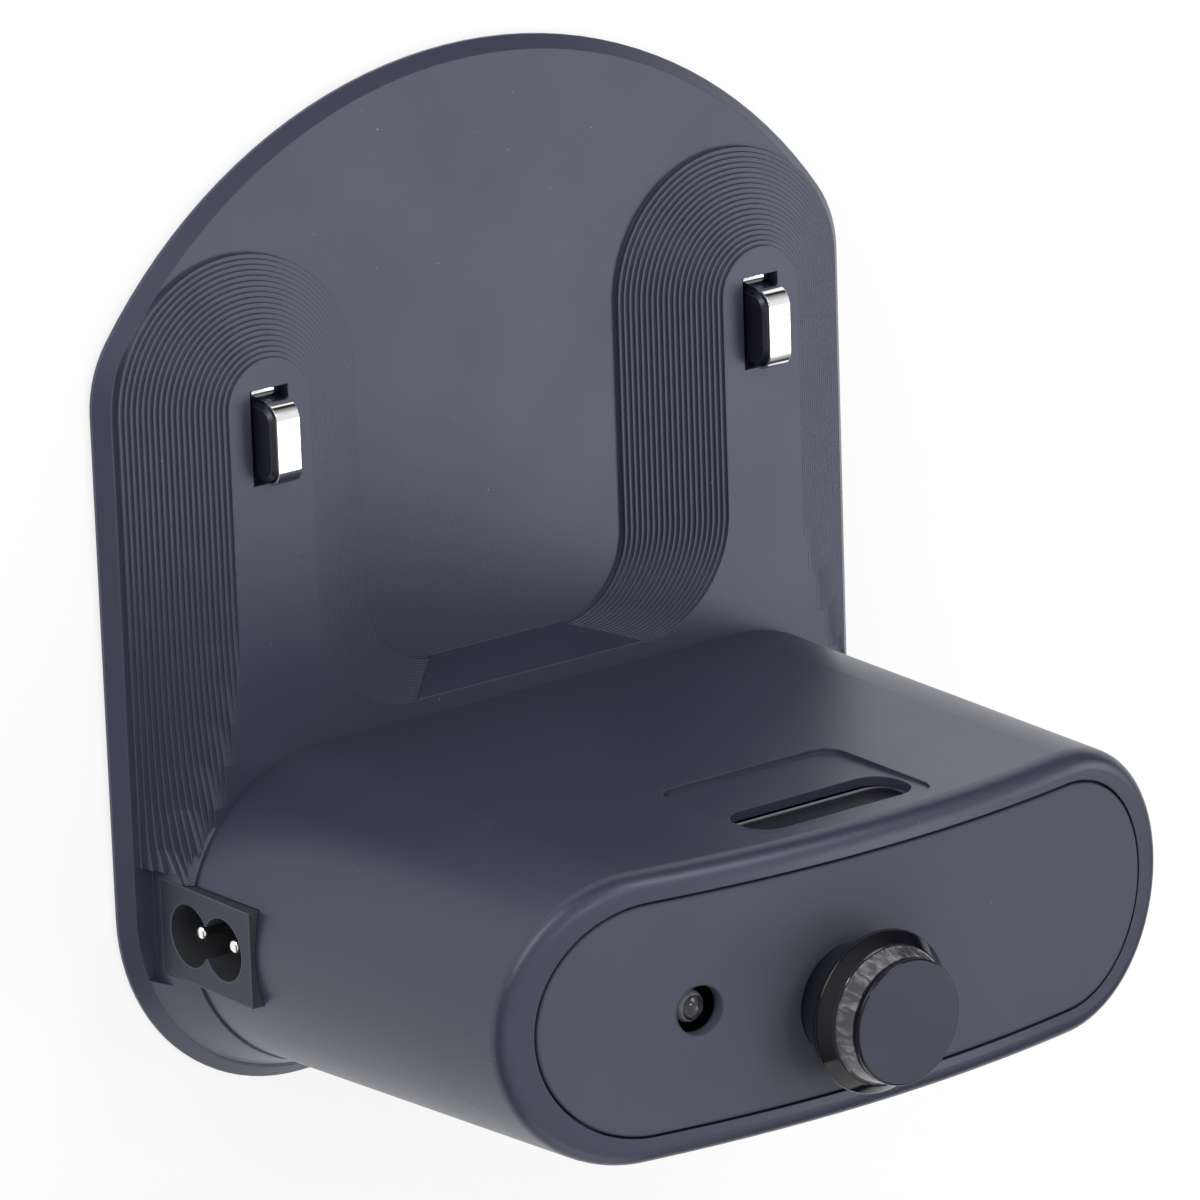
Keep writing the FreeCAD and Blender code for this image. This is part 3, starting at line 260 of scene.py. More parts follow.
class Wiring:
    """Adds nodes to one node tree and wires them."""

    def __init__(self, tree):
        self.tree = tree

    def add(self, kind, inputs=None, **settings):
        made = self.tree.nodes.new(kind)
        for name, value in settings.items():
            setattr(made, name, value)
        for key, value in (inputs or {}).items():
            if isinstance(value, bpy.types.NodeSocket):
                self.tree.links.new(value, made.inputs[key])
            else:
                made.inputs[key].default_value = value
        return made

    def math(self, operation, first, second=0.0, clamp=False):
        made = self.add("ShaderNodeMath", {0: first, 1: second}, operation=operation, use_clamp=clamp)
        return made.outputs[0]

    def remap(self, value, old, new):
        spans = {"Value": value, "From Min": old[0], "From Max": old[1], "To Min": new[0], "To Max": new[1]}
        return self.add("ShaderNodeMapRange", spans).outputs["Result"]

    def blend(self, factor, first, second):
        mixer = self.add("ShaderNodeMix", {MIX_FACTOR: factor, MIX_FIRST: first, MIX_SECOND: second},
                         data_type="RGBA")
        return mixer.outputs[MIX_RESULT]

    def effect(self, maker, inputs):
        """A shared node group with its own values, built the first time that it is used."""
        if maker not in GROUPS:
            GROUPS[maker] = maker()
        return self.add("ShaderNodeGroup", inputs, node_tree=GROUPS[maker])

    def surface(self, shader, base, roughness, bump):
        """Wires colour, roughness and bump to a shader."""
        values = {"Base Color": base, "Roughness": roughness, "Normal": bump.outputs["Normal"]}
        for name, value in values.items():
            self.tree.links.new(value, shader.inputs[name])


def opaque(colour, factor=1.0):
    """A colour with full alpha, lighter or darker by a factor."""
    return (*(min(1.0, channel * factor) for channel in colour[:3]), 1.0)


def node_group(name, inputs, outputs):
    group = bpy.data.node_groups.new(name, "ShaderNodeTree")
    for label, default in inputs:
        socket = group.interface.new_socket(label, in_out="INPUT", socket_type="NodeSocketFloat")
        socket.default_value = default
    for label, kind in outputs:
        group.interface.new_socket(label, in_out="OUTPUT", socket_type=kind)
    wiring = Wiring(group)
    return group, wiring, wiring.add("NodeGroupInput").outputs, wiring.add("NodeGroupOutput").inputs


def moulded_grain():
    """Fine texture of moulded plastic: a height, a slow change of shade and sparse pale specks."""
    group, wiring, given, result = node_group(
        "moulded_grain", [("Grain Size", 0.0004), ("Speck Share", 0.0)],
        [("Height", "NodeSocketFloat"), ("Shade", "NodeSocketFloat"), ("Speck", "NodeSocketFloat")])
    place = wiring.add("ShaderNodeTexCoord").outputs["Object"]
    per_metre = wiring.math("DIVIDE", 1.0, given["Grain Size"])
    fine = wiring.add("ShaderNodeTexNoise", {"Vector": place, "Scale": per_metre, "Detail": 2.0})
    slow = wiring.add("ShaderNodeTexNoise", {"Vector": place, "Scale": SLOW_SCALE, "Detail": 5.0})
    dots = wiring.add("ShaderNodeTexNoise", {"Vector": place, "Scale": SPECK_SCALE, "Detail": 1.0})
    threshold = wiring.math("SUBTRACT", 1.0, given["Speck Share"])
    over = wiring.math("SUBTRACT", dots.outputs["Fac"], threshold)
    wiring.tree.links.new(fine.outputs["Fac"], result["Height"])
    wiring.tree.links.new(wiring.remap(slow.outputs["Fac"], NOISE_SPAN, FULL_SPAN), result["Shade"])
    wiring.tree.links.new(wiring.math("MULTIPLY", over, SPECK_GAIN, True), result["Speck"])
    return group


def rounded_edges():
    """A normal that runs round each edge, and a mask of those edges."""
    group, wiring, given, result = node_group(
        "rounded_edges", [("Radius", 0.0002)], [("Normal", "NodeSocketVector"), ("Edge", "NodeSocketFloat")])
    bevel = wiring.add("ShaderNodeBevel", {"Radius": given["Radius"]}, samples=6)
    flat = wiring.add("ShaderNodeNewGeometry").outputs["Normal"]
    turned = wiring.add("ShaderNodeVectorMath", {0: bevel.outputs["Normal"], 1: flat},
                        operation="DOT_PRODUCT")
    wiring.tree.links.new(bevel.outputs["Normal"], result["Normal"])
    wiring.tree.links.new(wiring.remap(turned.outputs["Value"], EDGE_TURN, FULL_SPAN), result["Edge"])
    return group


def inner_corners():
    """A mask of the inner corners, where shade is painted into a moulding."""
    group, wiring, given, result = node_group(
        "inner_corners", [("Reach", 0.0006)], [("Crease", "NodeSocketFloat")])
    open_share = wiring.add("ShaderNodeAmbientOcclusion", {"Distance": given["Reach"]}, samples=6,
                            only_local=True)
    wiring.tree.links.new(wiring.remap(open_share.outputs["AO"], CORNER_OPEN, FULL_SPAN), result["Crease"])
    return group


def drawn_lines():
    """Fine lines along X, as rolled or drawn metal has them."""
    group, wiring, given, result = node_group(
        "drawn_lines", [("Fineness", 1500.0)], [("Height", "NodeSocketFloat"), ("Shade", "NodeSocketFloat")])
    place = wiring.add("ShaderNodeTexCoord").outputs["Object"]
    stretched = wiring.add("ShaderNodeMapping", {"Vector": place, "Scale": LINE_STRETCH})
    lines = wiring.add("ShaderNodeTexNoise", {"Vector": stretched.outputs["Vector"],
                                              "Scale": given["Fineness"], "Detail": 3.0})
    slow = wiring.add("ShaderNodeTexNoise", {"Vector": place, "Scale": STAIN_SCALE, "Detail": 3.0})
    wiring.tree.links.new(lines.outputs["Fac"], result["Height"])
    wiring.tree.links.new(wiring.remap(slow.outputs["Fac"], NOISE_SPAN, FULL_SPAN), result["Shade"])
    return group


def new_material(slot):
    made = bpy.data.materials.new("finish_" + slot)
    made.use_nodes = True
    made.node_tree.nodes.clear()
    wiring = Wiring(made.node_tree)
    shader = wiring.add("ShaderNodeBsdfPrincipled")
    wiring.add("ShaderNodeOutputMaterial", {"Surface": shader.outputs["BSDF"]})
    FINISHES[slot] = made
    return wiring, shader


def moulded(slot, colour, rough, grain=0.0004, depth=0.00001, edge=0.0002, contrast=0.12, speck=0.0,
            edge_highlight=None, specular=0.5, crease=0.0, inner=None, glint=WHITE):
    """Moulded plastic or rubber, with grain, a slow random change of tone, specks and rounded edges.

    A crease length paints shade into the inner corners, and an edge highlight colour paints highlights on the
    edges. The inner value is a colour painted as shade deep inside a recess, with the two X levels between
    which it takes over.
    """
    wiring, shader = new_material(slot)
    texture = wiring.effect(moulded_grain, {"Grain Size": grain, "Speck Share": speck})
    edges = wiring.effect(rounded_edges, {"Radius": edge})
    shade = texture.outputs["Shade"]
    base = wiring.blend(shade, opaque(colour, 1 - contrast), opaque(colour, 1 + contrast))
    base = wiring.blend(texture.outputs["Speck"], base, opaque(colours().speck)) if speck else base
    # Painted highlight: the edges are painted in a lighter colour.
    highlight_mask = edges.outputs["Edge"]
    # Painted shade in the inner corners; the painted edge highlight is kept out of them.
    if crease:
        corners = wiring.effect(inner_corners, {"Reach": crease})
        base = wiring.blend(corners.outputs["Crease"], base, opaque(colour, CREASE_SHADE))
        highlight_mask = wiring.math("MULTIPLY", highlight_mask, wiring.math("SUBTRACT", 1.0, corners.outputs["Crease"]))
    if edge_highlight is not None:
        base = wiring.blend(highlight_mask, base, opaque(edge_highlight))
    # Painted shade: the colour turns dark between the two X levels, deep inside a recess.
    if inner is not None:
        place = wiring.add("ShaderNodeTexCoord").outputs["Object"]
        across = wiring.add("ShaderNodeSeparateXYZ", {"Vector": place}).outputs["X"]
        base = wiring.blend(wiring.remap(across, inner[1:], FULL_SPAN), base, opaque(inner[0]))
    bump = wiring.add("ShaderNodeBump", {"Strength": 1.0, "Distance": depth,
                                         "Height": texture.outputs["Height"],
                                         "Normal": edges.outputs["Normal"]})
    wiring.surface(shader, base, wiring.remap(shade, FULL_SPAN, rough), bump)
    shader.inputs["Specular IOR Level"].default_value = specular
    shader.inputs["Specular Tint"].default_value = opaque(glint)


def plated(slot, colour, rough, fineness=1500.0, depth=0.000002, edge=0.0001, contrast=0.08):
    """Plated, rolled or drawn metal with fine lines."""
    wiring, shader = new_material(slot)
    lines = wiring.effect(drawn_lines, {"Fineness": fineness})
    edges = wiring.effect(rounded_edges, {"Radius": edge})
    shade = lines.outputs["Shade"]
    bump = wiring.add("ShaderNodeBump", {"Strength": 1.0, "Distance": depth,
                                         "Height": lines.outputs["Height"],
                                         "Normal": edges.outputs["Normal"]})
    base = wiring.blend(shade, opaque(colour, 1 - contrast), opaque(colour, 1 + contrast))
    wiring.surface(shader, base, wiring.remap(shade, FULL_SPAN, rough), bump)
    shader.inputs["Metallic"].default_value = 1.0


def clear(slot, dark, pale, rough, transmission, streak_scale):
    """Clear or smoky moulding with pale streaks in it."""
    wiring, shader = new_material(slot)
    place = wiring.add("ShaderNodeTexCoord").outputs["Object"]
    upright = wiring.add("ShaderNodeMapping", {"Vector": place, "Scale": STREAK_STRETCH})
    streaks = wiring.add("ShaderNodeTexNoise", {"Vector": upright.outputs["Vector"], "Scale": streak_scale,
                                                "Detail": 4.0, "Distortion": 1.2})
    mask = wiring.remap(streaks.outputs["Fac"], STREAK_SPAN, FULL_SPAN)
    bump = wiring.add("ShaderNodeBump", {"Strength": 0.2, "Distance": 0.0001,
                                         "Height": streaks.outputs["Fac"]})
    base = wiring.blend(mask, opaque(dark), opaque(pale))
    wiring.surface(shader, base, wiring.remap(mask, FULL_SPAN, rough), bump)
    shader.inputs["Transmission Weight"].default_value = transmission
    shader.inputs["IOR"].default_value = ACRYLIC_IOR


def dress(*nodes):
    """Gives carried-over nodes the finish of their slot."""
    for name in nodes:
        for slot in frame["nodes"][name].material_slots:
            slot.material = FINISHES[SLOT_OF[name]]


def piece(name, mesh, slot, nodes, body="dock", sharp=35.0):
    """Makes an object of a mesh, rides it on its body and lets it stand for its nodes."""
    bmesh.ops.remove_doubles(mesh, verts=mesh.verts[:], dist=MERGE)
    bmesh.ops.recalc_face_normals(mesh, faces=mesh.faces[:])
    data = bpy.data.meshes.new(name)
    mesh.to_mesh(data)
    mesh.free()
    data.shade_smooth()
    data.set_sharp_from_angle(angle=math.radians(sharp))
    data.materials.append(FINISHES[slot])
    made = bpy.data.objects.new(name, data)
    bpy.context.scene.collection.objects.link(made)
    made.modifiers.new("even_shading", "WEIGHTED_NORMAL").keep_sharp = True
    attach(made, body)
    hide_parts(*nodes)
    return made


def lathe(profile, closed=True):
    """Turns a profile of (radius, height) points round Z."""
    mesh = bmesh.new()
    points = [mesh.verts.new((radius, 0.0, height)) for radius, height in profile]
    pairs = list(zip(points, points[1:])) + ([(points[-1], points[0])] if closed else [])
    edges = [mesh.edges.new(pair) for pair in pairs]
    bmesh.ops.spin(mesh, geom=points + edges, cent=(0, 0, 0), axis=(0, 0, 1), angle=2 * math.pi,
                   steps=sizes().turn_steps, use_merge=True)
    bmesh.ops.remove_doubles(mesh, verts=mesh.verts[:], dist=MERGE)
    bmesh.ops.recalc_face_normals(mesh, faces=mesh.faces[:])
    return mesh


def disc(radius, low, high):
    """A closed cylinder round Z between two heights."""
    return lathe([(0.0, low), (radius, low), (radius, high), (0.0, high)], closed=False)


def round_edges(mesh, radius, segments=3, angle=30.0, wanted=lambda edge: True):
    """Rounds the edges that turn by more than an angle."""
    limit = math.radians(angle)
    edges = [edge for edge in mesh.edges
             if edge.is_manifold and edge.calc_face_angle(0.0) > limit and wanted(edge)]
    bmesh.ops.bevel(mesh, geom=edges, offset=radius, segments=segments, profile=0.5, affect="EDGES",
                    material=-1)


def move(mesh, place, turn=None):
    if turn is not None:
        bmesh.ops.transform(mesh, matrix=turn, verts=mesh.verts[:])
    bmesh.ops.translate(mesh, vec=place, verts=mesh.verts[:])


def block(low, high):
    """A box between two corners."""
    mesh = bmesh.new()
    bmesh.ops.create_cube(mesh, size=1.0)
    span = Vector(high) - Vector(low)
    bmesh.ops.scale(mesh, vec=span, verts=mesh.verts[:])
    bmesh.ops.translate(mesh, vec=Vector(low) + span / 2, verts=mesh.verts[:])
    bmesh.ops.recalc_face_normals(mesh, faces=mesh.faces[:])
    return mesh


def edge_line(edge):
    """Direction of an edge."""
    return (edge.verts[1].co - edge.verts[0].co).normalized()


def bent(corners, radii, steps=10):
    """A path through corners, each inner corner rounded to a radius."""
    line = [Vector(corners[0])]
    for before, corner, after, radius in zip(corners, corners[1:], corners[2:], radii):
        turn = Vector(corner)
        back = (Vector(before) - turn).normalized()
        ahead = (Vector(after) - turn).normalized()
        half = back.angle(ahead) / 2
        centre = turn + (back + ahead).normalized() * radius / math.sin(half)
        start = turn + back * radius / math.tan(half) - centre
        end = turn + ahead * radius / math.tan(half) - centre
        line += [centre + (start * (steps - step) + end * step).normalized() * radius
                 for step in range(steps + 1)]
    return line + [Vector(corners[-1])]


def middle(node):
    low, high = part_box(node)
    return (low + high) / 2


def half_width(node, axis=0):
    low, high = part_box(node)
    return (high[axis] - low[axis]) / 2


def stand(mesh, node):
    """Puts a mesh that was turned round Z on a node's upright axis."""
    axis = middle(node)
    move(mesh, Vector((axis.x, axis.y, 0.0)))


class DockOperator:
    """What the operators of this file share."""
    bl_options = {"REGISTER"}


class DOCK_OT_shells(DockOperator, Operator):
    """Textured slate plastic of the plate, the tower and the cover"""
    bl_idname = "dock.shells"
    bl_label = "Shells"

    def execute(self, context):
        moulded("shell", colours().shell, rough=(0.34, 0.38), grain=sizes().shell_grain,
                depth=sizes().grain_depth, edge=sizes().shell_edge, contrast=0.03, speck=0.2,
                edge_highlight=colours().edge, specular=0.7, crease=sizes().crease, glint=colours().glint)
        dress("base_top", "tower_shell", "base_cover")
        return {"FINISHED"}


class DOCK_OT_top_panel(DockOperator, Operator):
    """Satin panel let into the crown"""
    bl_idname = "dock.top_panel"
    bl_label = "Top panel"

    def execute(self, context):
        moulded("panel", colours().panel, rough=(0.56, 0.6), grain=0.0005, depth=0.000008,
                edge=sizes().panel_edge, contrast=0.03, speck=0.19, edge_highlight=colours().edge, specular=0.25,
                glint=colours().glint)
        dress("top_panel")
        return {"FINISHED"}


class DOCK_OT_beacon(DockOperator, Operator):
    """Gloss collar, streaky lens and satin cap on the top, with the mirror inside"""
    bl_idname = "dock.beacon"
    bl_label = "Beacon"

    def execute(self, context):
        moulded("gloss_black", colours().gloss, rough=(0.06, 0.1), grain=0.002, depth=0.000001, edge=0.0001,
                contrast=0.2, specular=0.35)
        clear("smoked_lens", dark=colours().smoke, pale=colours().streak, rough=(0.1, 0.35),
              transmission=0.35, streak_scale=650.0)
        plated("nickel", colours().nickel, rough=(0.06, 0.16), edge=0.00015)
        moulded("cap_satin", colours().cap, rough=(0.4, 0.48), grain=0.0005, depth=0.000008, edge=0.0001,
                contrast=0.05, specular=0.4, glint=colours().glint)
        self.collar()
        self.lens()
        self.cap()
        dress("beacon_reflector")
        return {"FINISHED"}

    def crown(self, x):
        """Height of the crown's surface at one place across the tower."""
        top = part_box("top_panel")[1].z
        return top - sizes().crown_radius + math.sqrt(sizes().crown_radius ** 2 - x * x)

    def collar(self):
        """Neck, flared foot and sloping top, with the foot's lower edge on the crown."""
        size = sizes()
        low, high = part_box("beacon_collar")
        outer = half_width("beacon_collar")
        lens = half_width("beacon_lens")
        crown_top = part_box("top_panel")[1].z
        rim = crown_top + size.collar_rim
        seat = crown_top - size.collar_seat
        mesh = lathe([(size.collar_bore, low.z), (size.collar_neck, low.z), (size.collar_neck, seat),
                      (size.collar_foot, seat), (size.collar_foot, crown_top), (outer, rim), (lens, high.z),
                      (size.collar_bore, high.z)])
        round_edges(mesh, size.collar_edge, segments=4,
                    wanted=lambda edge: edge.verts[0].co.z > seat + MERGE)
        stand(mesh, "beacon_collar")
        for corner in mesh.verts:
            if abs(corner.co.z - seat) < MERGE:
                corner.co.z = self.crown(corner.co.x)
        piece("beacon_collar_turned", mesh, "gloss_black", ["beacon_collar"])

    def lens(self):
        """Tapered ring with a lip round its foot."""
        size = sizes()
        low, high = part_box("beacon_lens")
        outer = half_width("beacon_lens")
        inner = outer - size.lens_taper - size.lens_wall
        lip = size.lens_lip
        mesh = lathe([(inner, low.z), (outer, low.z), (outer, low.z + lip / 2), (outer - lip, low.z + lip),
                      (outer - size.lens_taper, high.z), (inner, high.z)])
        stand(mesh, "beacon_lens")
        piece("beacon_lens_ring", mesh, "smoked_lens", ["beacon_lens"])

    def cap(self):
        """Disc with a satin top and a gloss side."""
        low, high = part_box("beacon_cap")
        mesh = disc(half_width("beacon_cap"), low.z, high.z)
        round_edges(mesh, sizes().cap_edge, segments=5)
        stand(mesh, "beacon_cap")
        made = piece("beacon_cap_disc", mesh, "panel", ["beacon_cap"])
        made.data.materials[0] = FINISHES["cap_satin"]
        made.data.materials.append(FINISHES["gloss_black"])
        for face in made.data.polygons:
            face.material_index = 0 if face.normal.z > FACING else 1


class DOCK_OT_lamps(DockOperator, Operator):
    """Clear status lamp in the panel, the beacon's lamp, and the guide lamps behind their dark window"""
    bl_idname = "dock.lamps"
    bl_label = "Lamps and window"

    def execute(self, context):
        clear("clear_lamp", dark=(0.05, 0.05, 0.065), pale=(0.14, 0.14, 0.16), rough=(0.03, 0.1),
              transmission=0.5, streak_scale=500.0)
        clear("lamp_cup", dark=(0.3, 0.3, 0.34), pale=(0.42, 0.42, 0.46), rough=(0.1, 0.2),
              transmission=0.3, streak_scale=500.0)
        moulded("dark_lamp", (0.03, 0.02, 0.05), rough=(0.08, 0.14), grain=0.003, depth=0.000002,
                edge=0.0001, contrast=0.15)
        moulded("window", (0.012, 0.0125, 0.019), rough=(0.3, 0.36), grain=0.004, depth=0.000001,
                contrast=0.1, specular=0.12)
        # Painted highlight: a pale bead that reads as a bright line.
        moulded("window_bead", BEAD_PAINTED_HIGHLIGHT, rough=(0.2, 0.3), grain=0.004, depth=0.000001, edge=0.0001,
                contrast=0.1)
        moulded("nylon", (0.62, 0.61, 0.57), rough=(0.45, 0.6), grain=0.0006, contrast=0.06)
        moulded("holder_black", (0.015, 0.015, 0.016), rough=(0.5, 0.65), grain=0.0005, depth=0.00002,
                contrast=0.15)
        self.pale_ring(self.lamp("status_lamp", "clear_lamp"))
        self.lamp("beacon_emitter", "dark_lamp")
        for side in SIDES:
            self.lamp(f"guide_emitter_{side}", "dark_lamp", forward=True)
        self.window()
        dress("lamp_spacer", "emitter_holder")
        return {"FINISHED"}

    def window(self):
        """The window's plate, with a fine bead along the slot's edge that is painted pale as a highlight."""
        size = sizes()
        low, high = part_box("guide_window")
        face = low.y + size.window_sink
        mesh = block((low.x, face, low.z), high)
        bmesh.ops.bevel(mesh, geom=[edge for edge in mesh.edges if abs(edge_line(edge).y) > FACING],
                        offset=half_width("guide_window", 2) * WINDOW_ROUND, segments=WINDOW_SEGMENTS,
                        profile=0.5, affect="EDGES", material=-1)
        front = [side for side in mesh.faces if side.normal.y < -FACING]
        bmesh.ops.inset_region(mesh, faces=front, thickness=size.bead_reach, use_even_offset=True)
        bead = bmesh.ops.inset_region(mesh, faces=front, thickness=size.bead_width,
                                      use_even_offset=True)["faces"]
        raised = bmesh.ops.extrude_face_region(mesh, geom=bead)["geom"]
        bmesh.ops.delete(mesh, geom=bead, context="FACES_ONLY")
        corners = [item for item in raised if isinstance(item, bmesh.types.BMVert)]
        bmesh.ops.translate(mesh, vec=(0.0, -size.window_sink, 0.0), verts=corners)
        bmesh.ops.recalc_face_normals(mesh, faces=mesh.faces[:])
        round_edges(mesh, size.bead_width * BEAD_ROUND, segments=4, wanted=lambda edge: all(
            corner.co.y < face - MERGE for corner in edge.verts))
        made = piece("guide_window_plate", mesh, "window", ["guide_window"])
        made.data.materials.append(FINISHES["window_bead"])
        for side in made.data.polygons:
            side.material_index = 1 if side.center.y < face - MERGE else 0

    def lamp(self, node, slot, forward=False):
        """A domed lamp on a flange, which points up or to the front."""
        size = sizes()
        low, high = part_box(node)
        axis = middle(node)
        flange = half_width(node)
        tall = high.y - low.y if forward else high.z - low.z
        shoulder = tall - size.lamp_radius
        quarter = [math.radians(90 * step / DOME_STEPS) for step in range(1, DOME_STEPS + 1)]
        dome = [(size.lamp_radius * math.cos(turn), shoulder + size.lamp_radius * math.sin(turn))
                for turn in quarter]
        foot = [(0.0, 0.0), (flange, 0.0), (flange, size.lamp_flange), (size.lamp_radius, size.lamp_flange)]
        mesh = lathe(foot + [(size.lamp_radius, shoulder)] + dome, closed=False)
        if forward:
            move(mesh, Vector((axis.x, high.y, axis.z)), Matrix.Rotation(math.radians(90), 4, "X"))
        else:
            move(mesh, Vector((axis.x, axis.y, low.z)))
        return piece(f"{node}_dome", mesh, slot, [node])

    def pale_ring(self, lamp):
        """A pale ring on the outer part of the lamp's dome, round its foot."""
        axis = middle("status_lamp").xy
        lamp.data.materials.append(FINISHES["lamp_cup"])
        for side in lamp.data.polygons:
            side.material_index = 1 if (side.center.xy - axis).length > sizes().lamp_cup else 0


class DOCK_OT_contacts(DockOperator, Operator):
    """Sprung contacts: black carriers, nickel strips, coil springs and their terminals"""
    bl_idname = "dock.contacts"
    bl_label = "Contacts"

    def execute(self, context):
        moulded("contact_black", colours().carrier, rough=(0.25, 0.34), grain=0.0008, depth=0.000006,
                edge=sizes().contact_edge, contrast=0.15, edge_highlight=colours().edge)
        plated("spring_steel", (0.55, 0.55, 0.56), rough=(0.2, 0.32))
        plated("tinned_brass", (0.62, 0.56, 0.42), rough=(0.25, 0.4))
        for side in SIDES:
            dress(*(f"contact_{part}_{side}" for part in ("block", "terminal")))
            self.strip(side)
            self.spring(side)
        return {"FINISHED"}

    def spring(self, side):
        """A coil between the fixed terminal and the carrier."""
        size = sizes()
        node = f"contact_spring_{side}"
        low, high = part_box(node)
        wire = size.spring_wire / 2
        mean = half_width(node) - wire
        around = [math.radians(360 * step / WIRE_SIDES) for step in range(WIRE_SIDES)]
        mesh = bmesh.new()
        ring = [mesh.verts.new((mean + wire * math.cos(turn), 0.0, low.z + wire + wire * math.sin(turn)))
                for turn in around]
        edges = [mesh.edges.new(pair) for pair in zip(ring, ring[1:] + ring[:1])]
        steps = round(size.spring_turns * SPRING_STEPS)
        rise = (high.z - low.z - size.spring_wire) / steps
        bmesh.ops.spin(mesh, geom=ring + edges, cent=(0, 0, 0), axis=(0, 0, 1), dvec=(0, 0, rise),
                       angle=2 * math.pi * size.spring_turns, steps=steps)
        bmesh.ops.holes_fill(mesh, edges=[edge for edge in mesh.edges if edge.is_boundary])
        stand(mesh, node)
        made = piece(f"{node}_coil", mesh, "spring_steel", [node], f"contact_{side}", BENT_SHARP)
        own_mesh(made)

    def strip(self, side):
        """A strip bent over the carrier: tail, leaning front leg, flat top and rear leg."""
        size = sizes()
        node = f"contact_strip_{side}"
        low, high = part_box(node)
        metal = size.strip_metal
        front = low.y + size.strip_reach
        foot = front - size.strip_slope
        outer = [(low.y, low.z + metal), (foot, low.z + metal), (front, high.z), (high.y, high.z),
                 (high.y, low.z)]
        inner = [(low.y, low.z), (foot + metal, low.z), (front + metal, high.z - metal),
                 (high.y - metal, high.z - metal), (high.y - metal, low.z)]
        fine = metal / 2
        line = bent(outer, (fine, size.strip_bend, size.strip_bend))
        line += reversed(bent(inner, (fine, size.strip_bend - metal, size.strip_bend - metal)))
        mesh = bmesh.new()
        outline = mesh.faces.new([mesh.verts.new((low.x, y, z)) for y, z in line])
        swept = bmesh.ops.extrude_face_region(mesh, geom=[outline])["geom"]
        bmesh.ops.translate(mesh, vec=(high.x - low.x, 0.0, 0.0),
                            verts=[item for item in swept if isinstance(item, bmesh.types.BMVert)])
        bmesh.ops.recalc_face_normals(mesh, faces=mesh.faces[:])
        ends = [edge for edge in mesh.edges if all(abs(corner.co.y - low.y) < MERGE for corner in edge.verts)
                and abs(edge_line(edge).z) > FACING]
        bmesh.ops.bevel(mesh, geom=ends, offset=size.strip_corner, segments=5, profile=0.5, affect="EDGES",
                        material=-1)
        piece(f"{node}_bent", mesh, "nickel", [node], f"contact_{side}", BENT_SHARP)


class DOCK_OT_inlet(DockOperator, Operator):
    """Mains inlet with two round-tipped pins"""
    bl_idname = "dock.inlet"
    bl_label = "Mains inlet"

    def execute(self, context):
        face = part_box("inlet_housing")[1].x
        # Painted shade deep inside the inlet's mouth.
        moulded("inlet_plastic", colours().inlet, rough=(0.4, 0.46), depth=0.00002, edge=sizes().inlet_edge,
                contrast=0.05, edge_highlight=INLET_PAINTED_HIGHLIGHT, specular=0.35,
                inner=(INLET_PAINTED_SHADE, face, face - sizes().inlet_lip), glint=colours().glint)
        dress("inlet_housing")
        for pole in ("upper", "lower"):
            self.pin(pole)
        return {"FINISHED"}

    def pin(self, pole):
        """A round pin along X with rounded ends."""
        node = f"inlet_pin_{pole}"
        low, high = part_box(node)
        mesh = disc(half_width(node, 1), low.x, high.x)
        round_edges(mesh, sizes().pin_tip, segments=5)
        axis = middle(node)
        move(mesh, Vector((0.0, axis.y, axis.z)), Matrix.Rotation(math.radians(90), 4, "Y"))
        piece(f"{node}_turned", mesh, "nickel", [node])


class DOCK_OT_underside(DockOperator, Operator):
    """Rubber feet and cover screws"""
    bl_idname = "dock.underside"
    bl_label = "Feet and screws"

    def execute(self, context):
        moulded("foot_rubber", (0.02, 0.02, 0.02), rough=(0.75, 0.9), grain=0.0003, depth=0.00003,
                edge=0.0001, contrast=0.15, specular=0.25)
        plated("screw_steel", (0.45, 0.45, 0.47), rough=(0.25, 0.4))
        for end in ("front", "rear"):
            for side in SIDES:
                self.foot(f"foot_{end}_{side}")
                self.screw(f"cover_screw_{end}_{side}")
        dress("board_screw_left", "board_screw_right")
        return {"FINISHED"}

    def foot(self, node):
        """A round pad with a rounded lower edge."""
        low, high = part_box(node)
        mesh = disc(half_width(node), low.z, high.z)
        round_edges(mesh, sizes().foot_edge, wanted=lambda edge: edge.verts[0].co.z < high.z - MERGE)
        stand(mesh, node)
        piece(f"{node}_pad", mesh, "foot_rubber", [node])

    def screw(self, node):
        """Pan head with a cross recess, and the shank above it."""
        size = sizes()
        low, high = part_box(node)
        outer = half_width(node)
        seat = low.z + size.screw_head
        mesh = lathe([(0.0, high.z), (size.screw_shank, high.z), (size.screw_shank, seat), (outer, seat),
                      (outer, low.z)], closed=False)
        ring = [edge for edge in mesh.edges if edge.is_boundary]
        reach, half = size.recess_reach, size.recess_half
        arm = [Vector((reach, -half)), Vector((reach, half)), Vector((half, half))]
        cross = [mesh.verts.new((*(Matrix.Rotation(math.radians(90 * turn), 2) @ point), low.z))
                 for turn in range(4) for point in arm]
        outline = [mesh.edges.new(pair) for pair in zip(cross, cross[1:] + cross[:1])]
        bmesh.ops.triangle_fill(mesh, edges=ring + outline, use_beauty=True)
        sunk = bmesh.ops.extrude_edge_only(mesh, edges=outline)["geom"]
        deep = [item for item in sunk if isinstance(item, bmesh.types.BMVert)]
        bmesh.ops.translate(mesh, vec=(0.0, 0.0, size.recess_depth), verts=deep)
        bmesh.ops.edgeloop_fill(mesh, edges=[item for item in sunk if isinstance(item, bmesh.types.BMEdge)
                                             and all(corner in deep for corner in item.verts)])
        stand(mesh, node)
        piece(f"{node}_driven", mesh, "screw_steel", [node])


